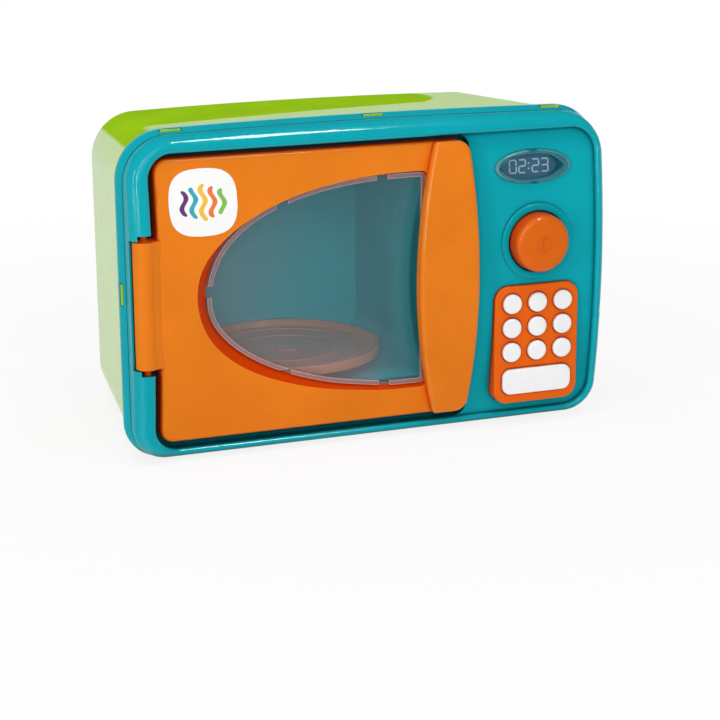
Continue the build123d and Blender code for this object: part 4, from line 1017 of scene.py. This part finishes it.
class TOYOVEN_OT_knob(bpy.types.Operator):
    """Turn the knob with its soft shoulder and the ring and bar on its front"""

    bl_idname = "toyoven.knob"
    bl_label = "Knob"

    def execute(self, context):
        colours = context.scene.toyoven_colours
        sizes = context.scene.toyoven_sizes
        material = moulded_plastic(
            "orange_knob_satin",
            colours.knob_orange,
            roughness=0.3,
            ripple=0.4,
            grain=0.8,
            specular=0.06,
            polish=0.3,
            # Painted shade: deep orange in the knob's recesses and on its side walls
            painted_shade=colours.painted_shade_orange,
            reach=10 * MM,
            walls=0.7,
        )
        middle = ((KNOB_LOW.x + KNOB_HIGH.x) / 2, (KNOB_LOW.z + KNOB_HIGH.z) / 2)
        radius = (KNOB_HIGH.x - KNOB_LOW.x) / 2
        back = -KNOB_HIGH.y
        top = -KNOB_LOW.y - KNOB_RING_HEIGHT
        side = radius - KNOB_SIDE_INSET
        rounding = sizes.knob_rounding
        rise = rounding * SHOULDER_FLATNESS
        symbol = sizes.knob_symbol

        def knob(bm):
            profile = [(radius + out * MM, back + up * MM) for out, up in KNOB_SKIRT]
            profile.append((side + KNOB_FOOT[0], back + KNOB_FOOT[1]))
            for step in range(SHOULDER_STEPS + 1):
                angle = math.radians(90 * step / SHOULDER_STEPS)
                out = side - rounding + rounding * math.cos(angle)
                profile.append((out, top - rise + rise * math.sin(angle)))
            profile.append((radius * KNOB_CROWN_START, top + KNOB_CROWN / 2))
            profile += [(symbol + out * MM, top + up * MM) for out, up in KNOB_RING]
            profile.append((0.0, top + KNOB_CROWN))
            turned(bm, profile, middle, sizes.knob_facets)

            def place(u, v, w):
                return Vector((middle[0] + u, -(top + w), middle[1] + v))

            start, end = (0, -KNOB_BAR_HALF), (0, KNOB_BAR_HALF)
            capsule(bm, start, end, KNOB_BAR_WIDTH, 0.0, KNOB_BAR_HEIGHT, place)

        sharp = math.radians(50)
        piece = new_piece("knob_grip", knob, material, "knob_set", sharp)
        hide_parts("knob")
        return {"FINISHED"}


class TOYOVEN_OT_keypad(bpy.types.Operator):
    """Give the keypad plate and its ten keys their finishes, and give each key spring its own mesh
    """

    bl_idname = "toyoven.keypad"
    bl_label = "Keypad"

    def execute(self, context):
        colours = context.scene.toyoven_colours
        plate = moulded_plastic(
            "orange_keypad_satin",
            colours.deep_orange,
            roughness=0.32,
            ripple=0.4,
            grain=0.8,
            specular=0.05,
            polish=0.12,
            # Painted shade round the keys and on the plate's walls, and a painted shadow ring at
            # each key hole
            painted_shade=colours.painted_shade_keypad,
            reach=5 * MM,
            walls=0.25,
            key_field=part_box("keypad_plate"),
        )
        dress("keypad_plate", plate)
        white = moulded_plastic(
            "white_key_satin",
            colours.key_white,
            roughness=0.3,
            ripple=0.5,
            grain=0.8,
            specular=0.2,
            polish=0.2,
            # Painted shade with painted orange bounce light on the keys' feet and sides
            painted_shade=colours.painted_key_shade,
            reach=3.5 * MM,
            soft_edge=1.5 * MM,
        )
        for key in [str(number) for number in range(1, 10)] + ["start"]:
            dress("key_" + key, white)
            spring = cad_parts["key_spring_" + key]
            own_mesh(spring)
        return {"FINISHED"}


class TOYOVEN_OT_turntable(bpy.types.Operator):
    """Give the turntable its orange plastic"""

    bl_idname = "toyoven.turntable"
    bl_label = "Turntable"

    def execute(self, context):
        dish = moulded_plastic(
            "orange_dish_gloss",
            context.scene.toyoven_colours.dish_orange,
            roughness=0.24,
            ripple=0.8,
            grain=0.6,
            specular=0.4,
        )
        dress("turntable", dish)
        return {"FINISHED"}


class TOYOVEN_OT_hardware(bpy.types.Operator):
    """Give the screws, springs and inner mouldings their finishes"""

    bl_idname = "toyoven.hardware"
    bl_label = "Screws, springs and inner parts"

    def execute(self, context):
        zinc = drawn_steel("zinc_plated_steel", ZINC, roughness=0.32)
        spring = drawn_steel("spring_steel_bright", SPRING_STEEL, roughness=0.22)
        grey = moulded_plastic(
            "grey_inner_matt", INNER_GREY, roughness=0.48, ripple=0.6, grain=2.0, specular=0.4
        )
        natural = moulded_plastic(
            "natural_nylon", NYLON, roughness=0.40, ripple=0.6, grain=1.4, specular=0.4
        )
        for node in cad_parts:
            if "screw" in node or node == "knob_washer":
                dress(node, zinc)
            elif "spring" in node or node == "catch_clip":
                dress(node, spring)
            elif node in ("display_frame", "key_retainer"):
                dress(node, grey)
            elif node in ("door_catch", "knob_shaft", "ratchet_wheel", "turntable_spindle"):
                dress(node, natural)
        return {"FINISHED"}


def set_table(table_white):
    """Pale table that shows white in the picture and keeps the toy's shadow."""
    mesh = bpy.data.meshes.new("table_top")
    bm = bmesh.new()
    bmesh.ops.create_grid(bm, x_segments=2, y_segments=2, size=TABLE_HALF_WIDTH)
    bm.to_mesh(mesh)
    bm.free()
    table = bpy.data.objects.new("table_top", mesh)
    table.location = (0, 0, -TABLE_DROP)
    link(table)
    material, sheet = new_finish("pale_table")
    camera, glossy, through = sheet.rays()
    seen = camera.or_more(glossy).or_more(through)
    paper = sheet.node("ShaderNodeBsdfDiffuse", None, {"Color": rgba(TABLE_PAPER)})
    plain = sheet.node("ShaderNodeEmission", None, {"Color": rgba(WHITE), "Strength": 1.0})
    across, depth, _ = sheet.axes(sheet.place())
    away = (across * across + depth * depth) ** 0.5
    share = table_white + sheet.band(away, 0.15, 0.75) * (1.0 - table_white)
    sheet.finish(sheet.blended(seen * share, paper, plain))
    material.cycles.emission_sampling = "NONE"
    mesh.materials.append(material)


def set_surround(ambient, surround):
    """White for the camera, even light on the toy, and darker in gloss above the table."""
    world = bpy.data.worlds.new("studio_surround")
    bpy.context.scene.world = world
    world.use_nodes = True
    world.cycles.sampling_method = "NONE"
    sheet = NodeSheet(world.node_tree)
    _, depth, height = sheet.axes(sheet.node("ShaderNodeTexCoord", output="Generated"))
    camera, glossy, through = sheet.rays()
    shown = camera.or_more(through)
    behind = sheet.band(depth, 0.0, 0.2)
    below = 1.0 - sheet.band(height - behind * 0.25, 0.0, 0.1)
    in_gloss = below * (1.0 - surround) + surround
    level = glossy * in_gloss + (1.0 - glossy) * ambient
    level = shown + (1.0 - shown) * level
    light = sheet.node("ShaderNodeBackground", None, {"Color": rgba(WHITE), "Strength": level})
    sheet.finish(light, "ShaderNodeOutputWorld")


def set_lamp(name, place, target, width, height, power):
    data = bpy.data.lights.new(name, "AREA")
    data.shape = "RECTANGLE"
    data.size = width
    data.size_y = height
    data.energy = power
    lamp = bpy.data.objects.new(name, data)
    lamp.location = place
    towards = Vector(target) - Vector(place)
    lamp.rotation_euler = towards.to_track_quat("-Z", "Y").to_euler()
    link(lamp)
    return lamp


def set_camera():
    data = bpy.data.cameras.new("camera")
    data.lens = LENS_LENGTH
    data.sensor_width = SENSOR_WIDTH
    data.sensor_fit = "HORIZONTAL"
    data.clip_start = NEAREST_SEEN
    data.clip_end = FURTHEST_SEEN
    camera = bpy.data.objects.new("camera", data)
    forward = Vector(CAMERA_FORWARD)
    right = Vector(CAMERA_RIGHT)
    turn = Matrix((right, right.cross(forward), -forward)).transposed()
    camera.matrix_world = Matrix.Translation(CAMERA_PLACE) @ turn.to_4x4()
    link(camera)
    bpy.context.scene.camera = camera


class TOYOVEN_OT_studio(bpy.types.Operator):
    """Set the table, the softboxes, the surround and the camera"""

    bl_idname = "toyoven.studio"
    bl_label = "Studio"

    def execute(self, context):
        levels = context.scene.toyoven_levels
        set_table(levels.table_white)
        set_surround(levels.ambient, levels.surround)
        for name, place, target, width, height, hidden_from in LAMPS:
            lamp = set_lamp(name, place, target, width, height, getattr(levels, name))
            if hidden_from is not None:
                setattr(lamp, hidden_from, False)
        set_camera()
        context.scene.view_settings.view_transform = "Standard"
        return {"FINISHED"}


STEPS = (
    TOYOVEN_OT_shell,
    TOYOVEN_OT_door,
    TOYOVEN_OT_window,
    TOYOVEN_OT_badge,
    TOYOVEN_OT_display,
    TOYOVEN_OT_knob,
    TOYOVEN_OT_keypad,
    TOYOVEN_OT_turntable,
    TOYOVEN_OT_hardware,
    TOYOVEN_OT_studio,
)


class TOYOVEN_PT_panel(bpy.types.Panel):
    """Lists the colours, sizes and steps of the toy oven"""

    bl_idname = "TOYOVEN_PT_panel"
    bl_label = "Toy oven"
    bl_space_type = "VIEW_3D"
    bl_region_type = "UI"
    bl_category = "Toy oven"

    def draw(self, context):
        layout = self.layout
        scene = context.scene
        for group in (scene.toyoven_colours, scene.toyoven_sizes, scene.toyoven_levels):
            box = layout.box()
            for name in group.__annotations__:
                box.prop(group, name)
        column = layout.column()
        for step in STEPS:
            column.operator(step.bl_idname)


CLASSES = (PlasticColours, DetailSizes, StudioLevels, *STEPS, TOYOVEN_PT_panel)


def register():
    for entry in CLASSES:
        bpy.utils.register_class(entry)
    bpy.types.Scene.toyoven_colours = PointerProperty(type=PlasticColours)
    bpy.types.Scene.toyoven_sizes = PointerProperty(type=DetailSizes)
    bpy.types.Scene.toyoven_levels = PointerProperty(type=StudioLevels)


def unregister():
    del bpy.types.Scene.toyoven_levels
    del bpy.types.Scene.toyoven_sizes
    del bpy.types.Scene.toyoven_colours
    for entry in reversed(CLASSES):
        bpy.utils.unregister_class(entry)


def main():
    register()
    bpy.ops.toyoven.shell()
    bpy.ops.toyoven.door()
    bpy.ops.toyoven.window()
    bpy.ops.toyoven.badge()
    bpy.ops.toyoven.display()
    bpy.ops.toyoven.knob()
    bpy.ops.toyoven.keypad()
    bpy.ops.toyoven.turntable()
    bpy.ops.toyoven.hardware()
    bpy.ops.toyoven.studio()
    bpy.context.view_layer.update()


if __name__ == "__main__":
    main()
